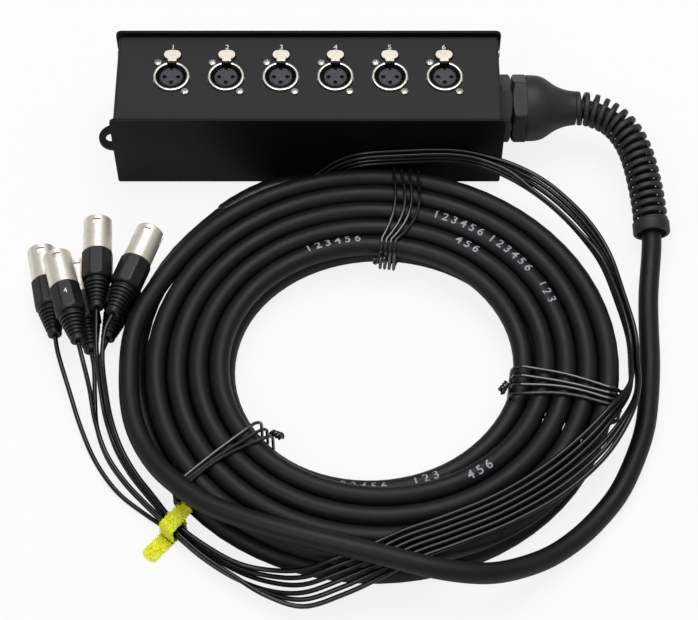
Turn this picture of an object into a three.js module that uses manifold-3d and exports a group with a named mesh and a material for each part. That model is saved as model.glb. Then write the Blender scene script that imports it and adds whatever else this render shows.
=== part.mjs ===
// Stage box snake: a six way microphone box with a multicore cable, coiled beside it, and six plugged tails.
// Millimetres, +Z up. The origin is on the floor, under the middle of the box.
// X runs along the row of sockets to the cable gland, and Y runs from the coil to the rear of the box.
import * as THREE from 'three';
import { mergeVertices } from 'three/addons/utils/BufferGeometryUtils.js';
import Module from 'manifold-3d';

const wasm = await Module();
wasm.setup();

// Clearance between pieces that touch, the overrun of a cutting tool past what it cuts,
// and the weld of corners.
const seatGap = 0.3;
const overrun = 1;
const weldDistance = 1e-4;

// Box: two bent sheets, the chassis (front, bottom, rear, ear) and the cover (top panel, two ends).
const box = {
  channels: 6,
  plateWidth: 260,
  depth: 76,
  height: 70,
  chassisSheet: 2,
  coverSheet: 1.5,
  plateCorner: 4,
  plateProud: 2,
  lip: 4,
  bendRadius: 2,
  tabWidth: 10,
  tabAboveScrew: 6,
  tabBase: 12,
};
const ear = { reach: 18, width: 21, slotWidth: 7.6, slotLength: 8.4, wall: 4.7 };
const sideScrew = {
  headRadius: 3, headHeight: 1.6, shankRadius: 1.5, shankLength: 7, holeClearance: 0.6, drop: 12,
};

// Panel sockets: a nickel shell behind the panel, a moulded insert and a latch lever.
const socket = {
  pitch: 36.4,
  centreY: 1,
  ringRadius: 12,
  boreRadius: 10.35,
  ringProud: 2,
  boreDepth: 19,
  flangeWidth: 26,
  flangeLength: 31,
  flangeThickness: 2,
  panelClearance: 0.3,
  screwX: 9.5,
  screwY: 12.2,
  screwHeadRadius: 2.6,
  screwHeadHeight: 1.5,
  screwShankRadius: 1.3,
  screwHoleRadius: 2,
  lugWidth: 1.6,
  lugRoot: 1.4,
  lugHeight: 5,
};
const insert = {
  radius: 7.65,
  recess: 0.9,
  baseRadius: 11.6,
  baseThickness: 3,
  contactRadius: 1.5,
  contactCircle: 4.5,
  contactDepth: 9,
};
const lever = {
  padWidth: 11.4,
  padLength: 7.4,
  padThickness: 1.7,
  padStart: 14.6,
  padStandOff: 0.4,
  padCorner: 3.3,
  neckWidth: 5.8,
  stemThickness: 1.6,
  stemStart: 11.9,
  stemDrop: 14.2,
  noseReach: 2.3,
  noseLength: 3.4,
  noseDepth: 4.4,
  pinRadius: 1.1,
  pinOverhang: 2.4,
  sideClearance: 0.4,
  travelClearance: 1.9,
};

// Cable gland on the right-hand end: flange body, locknut, seal, and a dome nut with its spiral bend
// protector.
const gland = {
  height: 34,
  wallHoleRadius: 12.9,
  threadRadius: 12.5,
  threadLength: 12,
  flangeAcross: 40.4,
  flangeCornerRadius: 23.1,
  flangeThickness: 8,
  flangeTurn: 30,
  mouthRadius: 15.6,
  mouthLength: 9,
  boreRadius: 7,
  pocketRadius: 11,
  pocketDepth: 10,
  locknutAcross: 33,
  locknutCornerRadius: 18.4,
  locknutThickness: 5,
  sealRadius: 10.7,
  sealLength: 12,
  chamfer: 1.2,
};
const domeNut = {
  start: 9.2,
  hexLength: 10,
  across: 41.6,
  turn: 22,
  cornerRadius: 24,
  mouthClearance: 0.8,
  cavityLength: 12,
  noseCavityLength: 8,
  chamfer: 1.4,
  stationShares: [0, 0.2, 0.33, 0.49, 0.71, 1],
  radiusShares: [1, 0.985, 0.92, 0.75, 0.585, 0.51],
  domeRadius: 22.4,
  domeLength: 33,
};
const spiral = {
  curls: 19,
  outerRadius: 11.5,
  bandRadial: 2.7,
  bandAxial: 3.5,
  cuffRadius: 12.25,
  cuffBoreRadius: 8.6,
  cuffLength: 8.4,
  stepsPerCurl: 8,
  sides: 5,
  length: 112,
};

// Multicore cable: a free lead from the gland, a two layer coil and a shrink sleeve at the breakout.
const cable = { radius: 6.5, sides: 10, stepsShare: 3.2 };
const coil = {
  centreX: 45,
  centreY: -192.5,
  innerRadius: 88.05,
  turnPitch: 13.5,
  layerRise: 13.5,
  floorClearance: 2,
  oval: 4,
  startAngle: 150,
  stepsPerTurn: 24,
  steps: 217,
  sides: 6,
  climbTurns: 0.5,
  runOut: 9,
  runOutSteps: 5,
};
const leadRoute = [
  [116, 0, 34], [150, 0, 34], [181, 0, 34], [191, -1.5, 34], [199, -5, 33.6], [207, -10.5, 32.8],
  [213.5, -18.5, 31.6], [218.5, -28.5, 29.8], [222, -40, 27.5], [226.3, -67, 22.4], [227.6, -95, 16.6],
  [226, -112, 12.5], [223.5, -132, 8.6], [222, -155, 6.8], [220.6, -185, 6.7], [217, -214.5, 6.7],
  [212.5, -236, 6.7], [195.5, -275, 6.7], [182, -293, 6.9], [166, -309.5, 8.5], [149, -323, 12.5],
  [131, -333, 19], [113, -340, 26], [94, -342.5, 33], [73, -341, 38], [53, -336, 39.7],
  [16, -326.5, 40], [-3, -321, 39.6], [-25, -313.5, 38], [-59.2, -297.3, 33.1], [-74.8, -284.9, 30.4],
  [-88.4, -270.8, 26.7], [-98.7, -254.6, 23.1], [-106, -238, 22], [-110, -221, 21.7], [-112, -188, 22],
  [-110.5, -170, 22], [-106, -154, 22],
];
const sleeve = { radius: 7.3, sides: 12, steps: 6 };
const sleeveRoute = [[-40, -57, 8.7], [-27, -50, 8.8], [-15, -47.2, 9.2], [-4.4, -47, 9.6]];

// Core bundle inside the box: the stripped end of the multicore, laid along the bottom behind the sockets.
const loom = { radius: 4, sides: 8, steps: 12 };
const loomRoute = [
  [115.2, 0, 34], [108, 0, 33.5], [102, 4, 28], [97, 14, 20], [88, 22, 14], [70, 24, 10], [40, 24, 8.5],
  [0, 24, 8], [-40, 24, 8], [-75, 24, 8.5], [-98, 22, 11],
];

// Tails: six thin cables from the breakout to the plugs, first as one bundle.
// Each row of the bundle is x, y, z, side spacing, row spacing, flatness and tilt.
// Flatness 0 stacks two columns of three, 1 lays all six side by side.
const tailCable = { radius: 1.5, sides: 8 };
const bundleRoute = [
  [-3, -47, 5.8, 4.2, 4.2, 0, 0], [6, -44.4, 7.6, 3.7, 4.4, 0, 0], [18, -41.5, 16.6, 3.6, 4.8, 0, 0],
  [32, -41.6, 26.6, 3.6, 4.2, 0, 0], [60, -42, 31.9, 3.8, 3.7, 0, 0],
  [98, -42.2, 33.3, 3.6, 3.6, 0, 0], [118, -46.5, 32.6, 3.8, 3.7, 0, 0], [136, -55, 31.6, 4.6, 4.6, 0.1, 0],
  [152, -66.5, 30.8, 5, 5, 0.3, 0], [167, -82, 30.8, 5, 5, 0.3, 0], [181, -101, 30.6, 5, 5, 0.25, 0],
  [193, -122, 28.5, 4.4, 4.6, 0.1, 0], [202, -146, 20.5, 3.8, 4.2, 0, 0], [208.2, -170, 15, 3.8, 3.8, 0, 0],
  [208.2, -192, 16, 3.8, 3.8, 0, 0], [205.6, -213.5, 21.5, 4.2, 4.5, 0.1, 0],
  [195.5, -234.5, 29.2, 5.1, 5.1, 0.4, 0],
  [178, -257, 30.6, 4.6, 4.6, 0.8, 0], [152, -280, 30.5, 4.2, 4.2, 1, 0], [120, -300, 30.5, 4, 4, 1, 0],
  [88, -314, 30.4, 3.9, 3.9, 1, 0], [64, -323.6, 31, 3.9, 3.9, 1, 0.05], [43, -334.1, 30, 3.8, 3.8, 1, 0.3],
  [22, -341, 24, 3.9, 3.9, 1, 0.5], [0, -345, 15, 4.5, 4.6, 0.9, 0.35], [-20, -340, 6.6, 5.4, 5.6, 0.5, 0.1],
  [-40, -331, 3, 4.8, 4.8, 0.2, 0], [-60, -318, 2.6, 4.2, 4.2, 0.1, 0], [-80, -301, 3.4, 3.8, 3.7, 0, 0],
];
// Points of each tail after the bundle, up to the boot of its plug.
const tailEndRoutes = [
  [[-95, -280.5, 2.2], [-109.2, -262, 2.2], [-120.2, -242, 2.2], [-126.7, -221, 3.5], [-129.4, -202, 7]],
  [[-98, -290, 2.2], [-116, -275, 2.2], [-131, -254, 2.4], [-142, -230, 3.5], [-150.5, -206, 7.5]],
  [[-94.8, -280.5, 5.9], [-108, -263.5, 6], [-118.5, -246, 6.8], [-125.5, -228, 11], [-129.5, -209, 20],
    [-132, -190, 28]],
  [[-98, -285.5, 5.9], [-112, -270, 5.8], [-124, -252, 6], [-131.5, -231, 6.8], [-133.8, -211, 9.5]],
  [[-93.5, -280.5, 9.6], [-105.5, -264.5, 9.8], [-115, -248, 11.5], [-121.5, -231, 16], [-125.5, -213, 23],
    [-128, -194, 30]],
  [[-98, -285.5, 9.6], [-112, -270, 9.8], [-124, -252, 11.5], [-131.5, -232, 16.5], [-135.5, -213, 25]],
];

// Plugs: nickel shell, insert with three pins, and a ribbed boot. Each place is x, y, z of the open end
// and the heading of the cable end in degrees from -Y toward +X. Tail n goes to the plug in row n.
const plugPlaces = [
  { label: 6, x: -112, y: -104.5, z: 10.9, heading: -14.2 },
  { label: 1, x: -176.5, y: -101, z: 10.9, heading: 12.2 },
  { label: 3, x: -137.4, y: -91.6, z: 31.2, heading: 3 },
  { label: 5, x: -152, y: -113, z: 10.9, heading: 12 },
  { label: 2, x: -102.3, y: -100.1, z: 32.8, heading: -18.3 },
  { label: 4, x: -162.5, y: -118.5, z: 30.9, heading: 16 },
];
const plug = {
  length: 67,
  shellRadius: 9.3,
  shellBoreRadius: 8.1,
  shellVisible: 25,
  shellTailRadius: 7.4,
  shellTailWall: 1.2,
  shellTailLength: 15,
  windowWidth: 5,
  windowLength: 3.6,
  windowStart: 3.2,
  keyWidth: 3,
  keyLength: 9,
  insertRadius: 7.6,
  insertFace: 12.5,
  insertLength: 8,
  pinRadius: 1.15,
  pinCircle: 4.5,
  pinTip: 2.6,
  bootRadius: 10.5,
  bootSides: 8,
  bootBodyLength: 20.3,
  bootNeckLength: 2.2,
  ribs: 6,
  ribStartRadius: 8.4,
  ribEndRadius: 5.5,
  grooveDepth: 0.8,
  bootEndLength: 4,
  bootEndRadius: 4.8,
  bootBoreRadius: 1.9,
  roundRadius: 1.2,
};

// Twist ties round the coil, and the yellow strap round the tails.
const tie = { radius: 0.7, sides: 4, loopPitch: 3.8, stepsPerCorner: 4, wrapGap: 0.72 };
const tieAngles = { twist_tie_rear: 82.5, twist_tie_right: -7.5, twist_tie_left: -142.8 };
const tieLoops = { twist_tie_rear: 4, twist_tie_right: 4, twist_tie_left: 3 };
const strap = {
  width: 10,
  thickness: 1.1,
  halfInner: 4.9,
  innerHeight: 13.3,
  base: 0.3,
  corner: 2,
  flag: 19,
  steps: 2,
};

// Places worked out from the sizes above.
const panelTop = box.height - box.lip;
const panelUnder = panelTop - box.coverSheet;
const coverWidth = box.plateWidth - 2 * box.plateProud;
const innerDepth = box.depth - 2 * box.chassisSheet;
const wallOuterX = coverWidth / 2;
const wallInnerX = wallOuterX - box.coverSheet;
const coilBase = coil.floorClearance + cable.radius;
const glandFaceX = wallOuterX + seatGap;
const sideScrewZ = panelTop - sideScrew.drop;
const tabTop = sideScrewZ + box.tabAboveScrew;

const finishes = {
  sheet: { color: 0x3b3b3d, roughness: 0.5, metalness: 0.3 },
  plate: { color: 0x141416, roughness: 0.5, metalness: 0.3 },
  nickel: { color: 0xd8d4cc, roughness: 0.25, metalness: 1 },
  steel: { color: 0xb8b8b8, roughness: 0.3, metalness: 1 },
  nylon: { color: 0x2f2f31, roughness: 0.6, metalness: 0 },
  moulding: { color: 0x3a3a3e, roughness: 0.55, metalness: 0 },
  rubber: { color: 0x1d1d1f, roughness: 0.75, metalness: 0 },
  jacket: { color: 0x2e2e30, roughness: 0.6, metalness: 0 },
  tail: { color: 0x161616, roughness: 0.3, metalness: 0 },
  yellow: { color: 0xf0f020, roughness: 0.6, metalness: 0 },
};

const product = new THREE.Group();

// Geometry helpers.
function toSolid(geometry) {
  const bare = geometry.index ? geometry.toNonIndexed() : geometry.clone();
  bare.deleteAttribute('normal');
  bare.deleteAttribute('uv');
  const merged = mergeVertices(bare, weldDistance);
  const mesh = new wasm.Mesh({
    numProp: 3,
    vertProperties: new Float32Array(merged.attributes.position.array),
    triVerts: new Uint32Array(merged.index.array),
  });
  return new wasm.Manifold(mesh);
}

function toGeometry(solid) {
  const mesh = solid.getMesh();
  const geometry = new THREE.BufferGeometry();
  geometry.setAttribute('position', new THREE.BufferAttribute(mesh.vertProperties, 3));
  geometry.setIndex(new THREE.BufferAttribute(mesh.triVerts, 1));
  return geometry;
}

function join(...geometries) {
  const solids = geometries.map(toSolid);
  return toGeometry(solids.reduce((whole, next) => whole.add(next)));
}

function cut(geometry, ...tools) {
  const solids = tools.map(toSolid);
  return toGeometry(solids.reduce((whole, next) => whole.subtract(next), toSolid(geometry)));
}

function common(geometry, other) {
  return toGeometry(toSolid(geometry).intersect(toSolid(other)));
}

function addPart(name, geometry, finish, parent = product) {
  const mesh = new THREE.Mesh(geometry, new THREE.MeshStandardMaterial(finish));
  mesh.name = name;
  parent.add(mesh);
  return mesh;
}

function block(x0, x1, y0, y1, z0, z1) {
  const geometry = new THREE.BoxGeometry(x1 - x0, y1 - y0, z1 - z0);
  return geometry.translate((x0 + x1) / 2, (y0 + y1) / 2, (z0 + z1) / 2);
}

// Cylinder along Z from z0 to z1.
function column(radius, z0, z1, segments, x = 0, y = 0) {
  const geometry = new THREE.CylinderGeometry(radius, radius, z1 - z0, segments);
  geometry.rotateX(Math.PI / 2);
  return geometry.translate(x, y, (z0 + z1) / 2);
}

// Body of revolution about Z from a closed list of [radius, z], given anticlockwise.
function revolve(profile, segments) {
  const points = profile.map(([radius, z]) => new THREE.Vector2(radius, z));
  const first = points[0];
  const last = points[points.length - 1];
  const onAxis = first.x === 0 && last.x === 0;
  if (!onAxis) {
    points.push(first.clone());
  }
  const geometry = new THREE.LatheGeometry(points, segments);
  return geometry.rotateX(Math.PI / 2);
}

// Turns a geometry whose axis is +Z so that it runs along +X, at the height of the gland.
function alongX(geometry) {
  return geometry.rotateY(Math.PI / 2).translate(0, 0, gland.height);
}

// Hexagonal prism along Z with its corners turned down to a radius, at a turn about its axis in degrees.
function hexNut(across, cornerRadius, z0, z1, chamfer, turn = 0) {
  const prism = column(across / Math.sqrt(3), z0, z1, 6);
  const turned = revolve([
    [0, z0], [cornerRadius - chamfer, z0], [cornerRadius, z0 + chamfer],
    [cornerRadius, z1 - chamfer], [cornerRadius - chamfer, z1], [0, z1],
  ], 18);
  return common(prism, turned).rotateZ(rad(turn));
}

function roundedRect(width, height, radius) {
  const shape = new THREE.Shape();
  const x = width / 2 - radius;
  const y = height / 2 - radius;
  shape.absarc(x, y, radius, 0, Math.PI / 2, false);
  shape.absarc(-x, y, radius, Math.PI / 2, Math.PI, false);
  shape.absarc(-x, -y, radius, Math.PI, 1.5 * Math.PI, false);
  shape.absarc(x, -y, radius, 1.5 * Math.PI, 2 * Math.PI, false);
  return shape;
}

function extrude(shape, depth, curveSegments = 4) {
  return new THREE.ExtrudeGeometry(shape, { depth, bevelEnabled: false, curveSegments });
}

function toVectors(route) {
  return route.map(([x, y, z]) => new THREE.Vector3(x, y, z));
}

// Curve whose even steps fall on the route's own points, so that neighbours in a bundle stay in step.
function routeCurve(points) {
  const curve = new THREE.CatmullRomCurve3(points);
  curve.getPointAt = (share, target) => curve.getPoint(share, target);
  curve.getTangentAt = (share, target) => curve.getTangent(share, target);
  return curve;
}

// Round tube along a curve, for the free stretches.
function roundTube(curve, radius, sides, steps) {
  const section = new THREE.Shape();
  for (let i = 0; i < sides; i += 1) {
    const angle = (2 * Math.PI * i) / sides;
    const x = radius * Math.cos(angle);
    const y = radius * Math.sin(angle);
    if (i === 0) {
      section.moveTo(x, y);
    } else {
      section.lineTo(x, y);
    }
  }
  return new THREE.ExtrudeGeometry(section, { steps, bevelEnabled: false, extrudePath: curve });
}

// Closed tube through stations, each a centre with two unit side directions, for the wound forms.
function sweep(stations, radiusA, radiusB, sides) {
  const positions = [];
  const rings = stations.map(({ centre, sideA, sideB }) => {
    const ring = [];
    for (let i = 0; i < sides; i += 1) {
      const angle = (2 * Math.PI * i) / sides;
      const point = centre.clone();
      point.addScaledVector(sideA, radiusA * Math.cos(angle));
      point.addScaledVector(sideB, radiusB * Math.sin(angle));
      ring.push(point);
    }
    return ring;
  });
  const face = (a, b, c) => positions.push(...a.toArray(), ...b.toArray(), ...c.toArray());
  for (let k = 0; k + 1 < rings.length; k += 1) {
    for (let i = 0; i < sides; i += 1) {
      const j = (i + 1) % sides;
      face(rings[k][i], rings[k][j], rings[k + 1][i]);
      face(rings[k][j], rings[k + 1][j], rings[k + 1][i]);
    }
  }
  const first = rings[0];
  const last = rings[rings.length - 1];
  for (let i = 1; i + 1 < sides; i += 1) {
    face(first[0], first[i + 1], first[i]);
    face(last[0], last[i], last[i + 1]);
  }
  const geometry = new THREE.BufferGeometry();
  geometry.setAttribute('position', new THREE.Float32BufferAttribute(positions, 3));
  return mergeVertices(geometry, weldDistance);
}

// Stations along a list of points, with one side direction kept as near to `up` as it can be.
function stationsAlong(points, up) {
  return points.map((centre, k) => {
    const before = points[Math.max(k - 1, 0)];
    const after = points[Math.min(k + 1, points.length - 1)];
    const tangent = after.clone().sub(before).normalize();
    const sideB = up.clone().addScaledVector(tangent, -up.dot(tangent)).normalize();
    const sideA = sideB.clone().cross(tangent);
    return { centre, sideA, sideB };
  });
}

function smoothShare(value) {
  const share = Math.min(Math.max(value, 0), 1);
  return share * share * (3 - 2 * share);
}

const rad = THREE.MathUtils.degToRad;

// Box.
function sidePlate(y0) {
  const outline = roundedRect(box.plateWidth, box.height, box.plateCorner);
  const plate = extrude(outline, box.chassisSheet, 3);
  plate.rotateX(Math.PI / 2);
  return plate.translate(0, y0 + box.chassisSheet, box.height / 2);
}

function earSheet() {
  const left = -wallOuterX;
  const outline = new THREE.Shape();
  const half = ear.width / 2;
  const tip = left - ear.reach + half;
  outline.moveTo(left + overrun, -half);
  outline.lineTo(left + overrun, half);
  outline.lineTo(tip, half);
  outline.absarc(tip, 0, half, Math.PI / 2, 1.5 * Math.PI, false);
  const slotHalf = ear.slotWidth / 2;
  const slotTip = left - ear.reach + ear.wall + slotHalf;
  const slot = new THREE.Path();
  slot.moveTo(slotTip + ear.slotLength - ear.slotWidth, slotHalf);
  slot.absarc(slotTip, 0, slotHalf, Math.PI / 2, 1.5 * Math.PI, false);
  slot.absarc(slotTip + ear.slotLength - ear.slotWidth, 0, slotHalf, -Math.PI / 2, Math.PI / 2, false);
  outline.holes.push(slot);
  return extrude(outline, box.chassisSheet, 6);
}

function screwTab(sideX, y0) {
  const outer = sideX * (wallInnerX - seatGap);
  const inner = outer - sideX * box.chassisSheet;
  const x0 = Math.min(outer, inner);
  const x1 = Math.max(outer, inner);
  const tab = block(x0, x1, y0, y0 + box.tabWidth, box.tabBase, tabTop);
  const centreY = y0 + box.tabWidth / 2;
  const hole = column(sideScrew.shankRadius + sideScrew.holeClearance, x0 - overrun, x1 + overrun, 6);
  hole.rotateY(Math.PI / 2);
  hole.translate(0, centreY, sideScrewZ);
  return cut(tab, hole);
}

const tabRows = [-innerDepth / 2, innerDepth / 2 - box.tabWidth];

function buildChassis() {
  const front = sidePlate(-box.depth / 2);
  const rear = sidePlate(box.depth / 2 - box.chassisSheet);
  const halfInner = innerDepth / 2 + box.chassisSheet / 2;
  const bottom = block(-wallOuterX, wallOuterX, -halfInner, halfInner, 0, box.chassisSheet);
  const tabs = [];
  for (const sideX of [-1, 1]) {
    for (const y0 of tabRows) {
      const reach = y0 < 0 ? -box.chassisSheet / 2 : 0;
      const tab = screwTab(sideX, y0);
      const root = wallInnerX - seatGap;
      const x0 = Math.min(sideX * root, sideX * (root - box.chassisSheet));
      const rootY = y0 < 0 ? y0 + reach : y0 + box.tabWidth - box.chassisSheet / 2;
      tabs.push(tab);
      tabs.push(block(x0, x0 + box.chassisSheet, rootY, rootY + box.chassisSheet,
        box.tabBase, tabTop));
    }
  }
  addPart('chassis', join(front, rear, bottom, earSheet(), ...tabs), finishes.plate);
}

// Outline of the opening in the panel for a latch pad, from the bore to past the pad.
function latchOpening(depthTop, depthBottom) {
  const half = lever.padWidth / 2 + lever.sideClearance;
  const neckHalf = lever.neckWidth / 2 + lever.sideClearance;
  const padFrom = lever.padStart - lever.sideClearance;
  const padTo = lever.padStart + lever.padLength + lever.travelClearance;
  const neck = block(-neckHalf, neckHalf, 0, padFrom + overrun, depthBottom, depthTop);
  const pad = extrude(roundedRect(2 * half, padTo - padFrom, lever.padCorner), depthTop - depthBottom, 2);
  pad.translate(0, (padFrom + padTo) / 2, depthBottom);
  return join(neck, pad);
}

function socketX(index) {
  return (index - (box.channels - 1) / 2) * socket.pitch;
}

function buildCover() {
  const outline = new THREE.Shape();
  const outer = box.bendRadius;
  const inner = box.bendRadius - box.coverSheet;
  const foot = box.chassisSheet + seatGap;
  outline.moveTo(wallOuterX, foot);
  outline.lineTo(wallOuterX, panelTop - outer);
  outline.absarc(wallOuterX - outer, panelTop - outer, outer, 0, Math.PI / 2, false);
  outline.lineTo(outer - wallOuterX, panelTop);
  outline.absarc(outer - wallOuterX, panelTop - outer, outer, Math.PI / 2, Math.PI, false);
  outline.lineTo(-wallOuterX, foot);
  outline.lineTo(-wallInnerX, foot);
  outline.lineTo(-wallInnerX, panelUnder - inner);
  outline.absarc(inner - wallInnerX, panelUnder - inner, inner, Math.PI, Math.PI / 2, true);
  outline.lineTo(wallInnerX - inner, panelUnder);
  outline.absarc(wallInnerX - inner, panelUnder - inner, inner, Math.PI / 2, 0, true);
  outline.lineTo(wallInnerX, foot);
  const depth = innerDepth - 2 * seatGap;
  const sheet = extrude(outline, depth, 3);
  sheet.rotateX(Math.PI / 2);
  sheet.translate(0, depth / 2, 0);
  const tools = [];
  const top = panelTop + overrun;
  const under = panelUnder - overrun;
  for (let index = 0; index < box.channels; index += 1) {
    const x = socketX(index);
    tools.push(column(socket.ringRadius + socket.panelClearance, under, top, 16, x, socket.centreY));
    tools.push(latchOpening(top, under).translate(x, socket.centreY, 0));
    for (const side of [-1, 1]) {
      const holeX = x + side * socket.screwX;
      const holeY = socket.centreY - side * socket.screwY;
      tools.push(column(socket.screwHoleRadius, under, top, 5, holeX, holeY));
    }
  }
  const glandHole = column(gland.wallHoleRadius, wallInnerX - overrun, wallOuterX + overrun, 18);
  tools.push(alongX(glandHole));
  for (const sideX of [-1, 1]) {
    for (const y0 of tabRows) {
      const hole = column(sideScrew.shankRadius + sideScrew.holeClearance, wallInnerX - overrun,
        wallOuterX + overrun, 6);
      hole.rotateY(sideX * (Math.PI / 2));
      tools.push(hole.translate(0, y0 + box.tabWidth / 2, sideScrewZ));
    }
  }
  addPart('cover', cut(sheet, ...tools), finishes.sheet);
}

function buildSideScrews() {
  const names = [
    'side_screw_left_front', 'side_screw_left_rear', 'side_screw_right_front', 'side_screw_right_rear',
  ];
  const base = wallOuterX + seatGap;
  let count = 0;
  for (const sideX of [-1, 1]) {
    for (const y0 of tabRows) {
      const screw = revolve([
        [0, base - sideScrew.shankLength], [sideScrew.shankRadius, base - sideScrew.shankLength],
        [sideScrew.shankRadius, base], [sideScrew.headRadius, base],
        [sideScrew.headRadius, base + sideScrew.headHeight], [0, base + sideScrew.headHeight],
      ], 8);
      screw.rotateY(sideX * (Math.PI / 2));
      screw.translate(0, y0 + box.tabWidth / 2, sideScrewZ);
      addPart(names[count], screw, finishes.steel);
      count += 1;
    }
  }
}

// Panel socket: shell with its flange, screws and lever ears, in the frame of the socket's axis.
const pivotZ = panelTop + lever.padStandOff - lever.stemDrop;
const pivotY = lever.stemStart + lever.stemThickness / 2;

function buildSocketShell() {
  const top = panelTop + socket.ringProud;
  const base = top - socket.boreDepth;
  const barrel = revolve([
    [socket.boreRadius, base], [socket.ringRadius, base], [socket.ringRadius, top], [socket.boreRadius, top],
  ], 16);
  const flangeTop = panelUnder - socket.panelClearance;
  const flangeBase = flangeTop - socket.flangeThickness;
  const halfWidth = socket.flangeWidth / 2;
  const halfLength = socket.flangeLength / 2;
  const flange = block(-halfWidth, halfWidth, -halfLength, halfLength, flangeBase, flangeTop);
  const flangeBore = column((socket.boreRadius + socket.ringRadius) / 2, base, top, 16);
  const pieces = [barrel, cut(flange, flangeBore)];
  for (const side of [-1, 1]) {
    const headBase = panelTop + seatGap;
    const shankBase = (flangeTop + flangeBase) / 2;
    const screw = revolve([
      [0, shankBase], [socket.screwShankRadius, shankBase], [socket.screwShankRadius, headBase],
      [socket.screwHeadRadius, headBase], [socket.screwHeadRadius, headBase + socket.screwHeadHeight],
      [0, headBase + socket.screwHeadHeight],
    ], 7);
    pieces.push(screw.translate(side * socket.screwX, -side * socket.screwY, 0));
    const lugInner = lever.neckWidth / 2 + lever.sideClearance;
    const lugX = side > 0 ? lugInner : -lugInner - socket.lugWidth;
    const halfLug = socket.lugHeight / 2;
    pieces.push(block(lugX, lugX + socket.lugWidth, socket.ringRadius - socket.lugRoot, pivotY + halfLug,
      pivotZ - halfLug, pivotZ + halfLug));
  }
  const slotHalf = lever.neckWidth / 2 + lever.sideClearance;
  const slot = block(-slotHalf, slotHalf, socket.boreRadius - overrun, socket.flangeLength,
    pivotZ - socket.lugHeight, top + overrun);
  const pinHole = column(lever.pinRadius + seatGap, -halfWidth, halfWidth, 6);
  pinHole.rotateY(Math.PI / 2);
  pinHole.translate(0, pivotY, pivotZ);
  return cut(join(...pieces), slot, pinHole);
}

function buildSocketInsert() {
  const top = panelTop + socket.ringProud - insert.recess;
  const baseTop = panelTop + socket.ringProud - socket.boreDepth - seatGap;
  const baseUnder = baseTop - insert.baseThickness;
  const body = revolve([
    [0, baseUnder], [insert.baseRadius, baseUnder], [insert.baseRadius, baseTop], [insert.radius, baseTop],
    [insert.radius, top], [0, top],
  ], 14);
  const holes = [0, 90, 180].map((angle) => {
    const x = insert.contactCircle * Math.cos(rad(angle));
    const y = -insert.contactCircle * Math.sin(rad(angle));
    return column(insert.contactRadius, top - insert.contactDepth, top + overrun, 6, x, y);
  });
  return cut(body, ...holes);
}

function buildLever() {
  const padBase = panelTop + lever.padStandOff;
  const padTop = padBase + lever.padThickness;
  const pad = extrude(roundedRect(lever.padWidth, lever.padLength, lever.padCorner), lever.padThickness, 2);
  pad.translate(0, lever.padStart + lever.padLength / 2, padBase);
  const half = lever.neckWidth / 2;
  const stemEnd = lever.stemStart + lever.stemThickness;
  const neck = block(-half, half, lever.stemStart, lever.padStart + overrun, padBase, padTop);
  const stem = block(-half, half, lever.stemStart, stemEnd, pivotZ - lever.pinRadius, padBase + overrun / 2);
  const noseTop = panelTop - lever.noseDepth;
  const noseStart = lever.stemStart - lever.noseReach;
  const nose = block(-half, half, noseStart, stemEnd, noseTop - lever.noseLength, noseTop);
  const pinHalf = half + lever.pinOverhang;
  const pin = column(lever.pinRadius, -pinHalf, pinHalf, 6);
  pin.rotateY(Math.PI / 2);
  pin.translate(0, pivotY, pivotZ);
  return join(pad, neck, stem, nose, pin);
}

function buildSockets() {
  const shell = buildSocketShell();
  const core = buildSocketInsert();
  const latch = buildLever();
  for (let index = 0; index < box.channels; index += 1) {
    const group = new THREE.Group();
    group.position.set(socketX(index), socket.centreY, 0);
    product.add(group);
    const label = index + 1;
    addPart(`socket_shell_${label}`, shell, finishes.nickel, group);
    addPart(`socket_insert_${label}`, core, finishes.moulding, group);
    addPart(`latch_lever_${label}`, latch, finishes.nickel, group);
  }
}

// Gland.
function buildGland() {
  const wallIn = wallInnerX - seatGap;
  const flangeEnd = glandFaceX + gland.flangeThickness;
  const threadStart = wallIn - gland.threadLength;
  const mouthEnd = flangeEnd + gland.mouthLength;
  const hex = hexNut(gland.flangeAcross, gland.flangeCornerRadius, glandFaceX, flangeEnd, gland.chamfer,
    gland.flangeTurn);
  const thread = column(gland.threadRadius, threadStart, glandFaceX + overrun, 18);
  const mouth = column(gland.mouthRadius, flangeEnd - overrun, mouthEnd, 18);
  const bore = column(gland.boreRadius, threadStart - overrun, mouthEnd + overrun, 14);
  const pocket = column(gland.pocketRadius, mouthEnd - gland.pocketDepth, mouthEnd + overrun, 14);
  addPart('gland_body', alongX(cut(join(hex, thread, mouth), bore, pocket)), finishes.nylon);

  const nutEnd = wallIn;
  const nut = hexNut(gland.locknutAcross, gland.locknutCornerRadius, nutEnd - gland.locknutThickness, nutEnd,
    gland.chamfer / 2);
  const nutBore = column(gland.threadRadius + seatGap, threadStart, nutEnd + overrun, 18);
  addPart('gland_locknut', alongX(cut(nut, nutBore)), finishes.nylon);

  const sealStart = mouthEnd - gland.pocketDepth + seatGap;
  const sealEnd = sealStart + gland.sealLength;
  const sealBore = cable.radius + 2 * seatGap;
  const seal = revolve([
    [sealBore, sealStart], [gland.sealRadius, sealStart],
    [gland.sealRadius, sealEnd - gland.chamfer], [gland.sealRadius - gland.chamfer, sealEnd],
    [sealBore, sealEnd],
  ], 14);
  addPart('gland_seal', alongX(seal), finishes.rubber);
}

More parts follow.
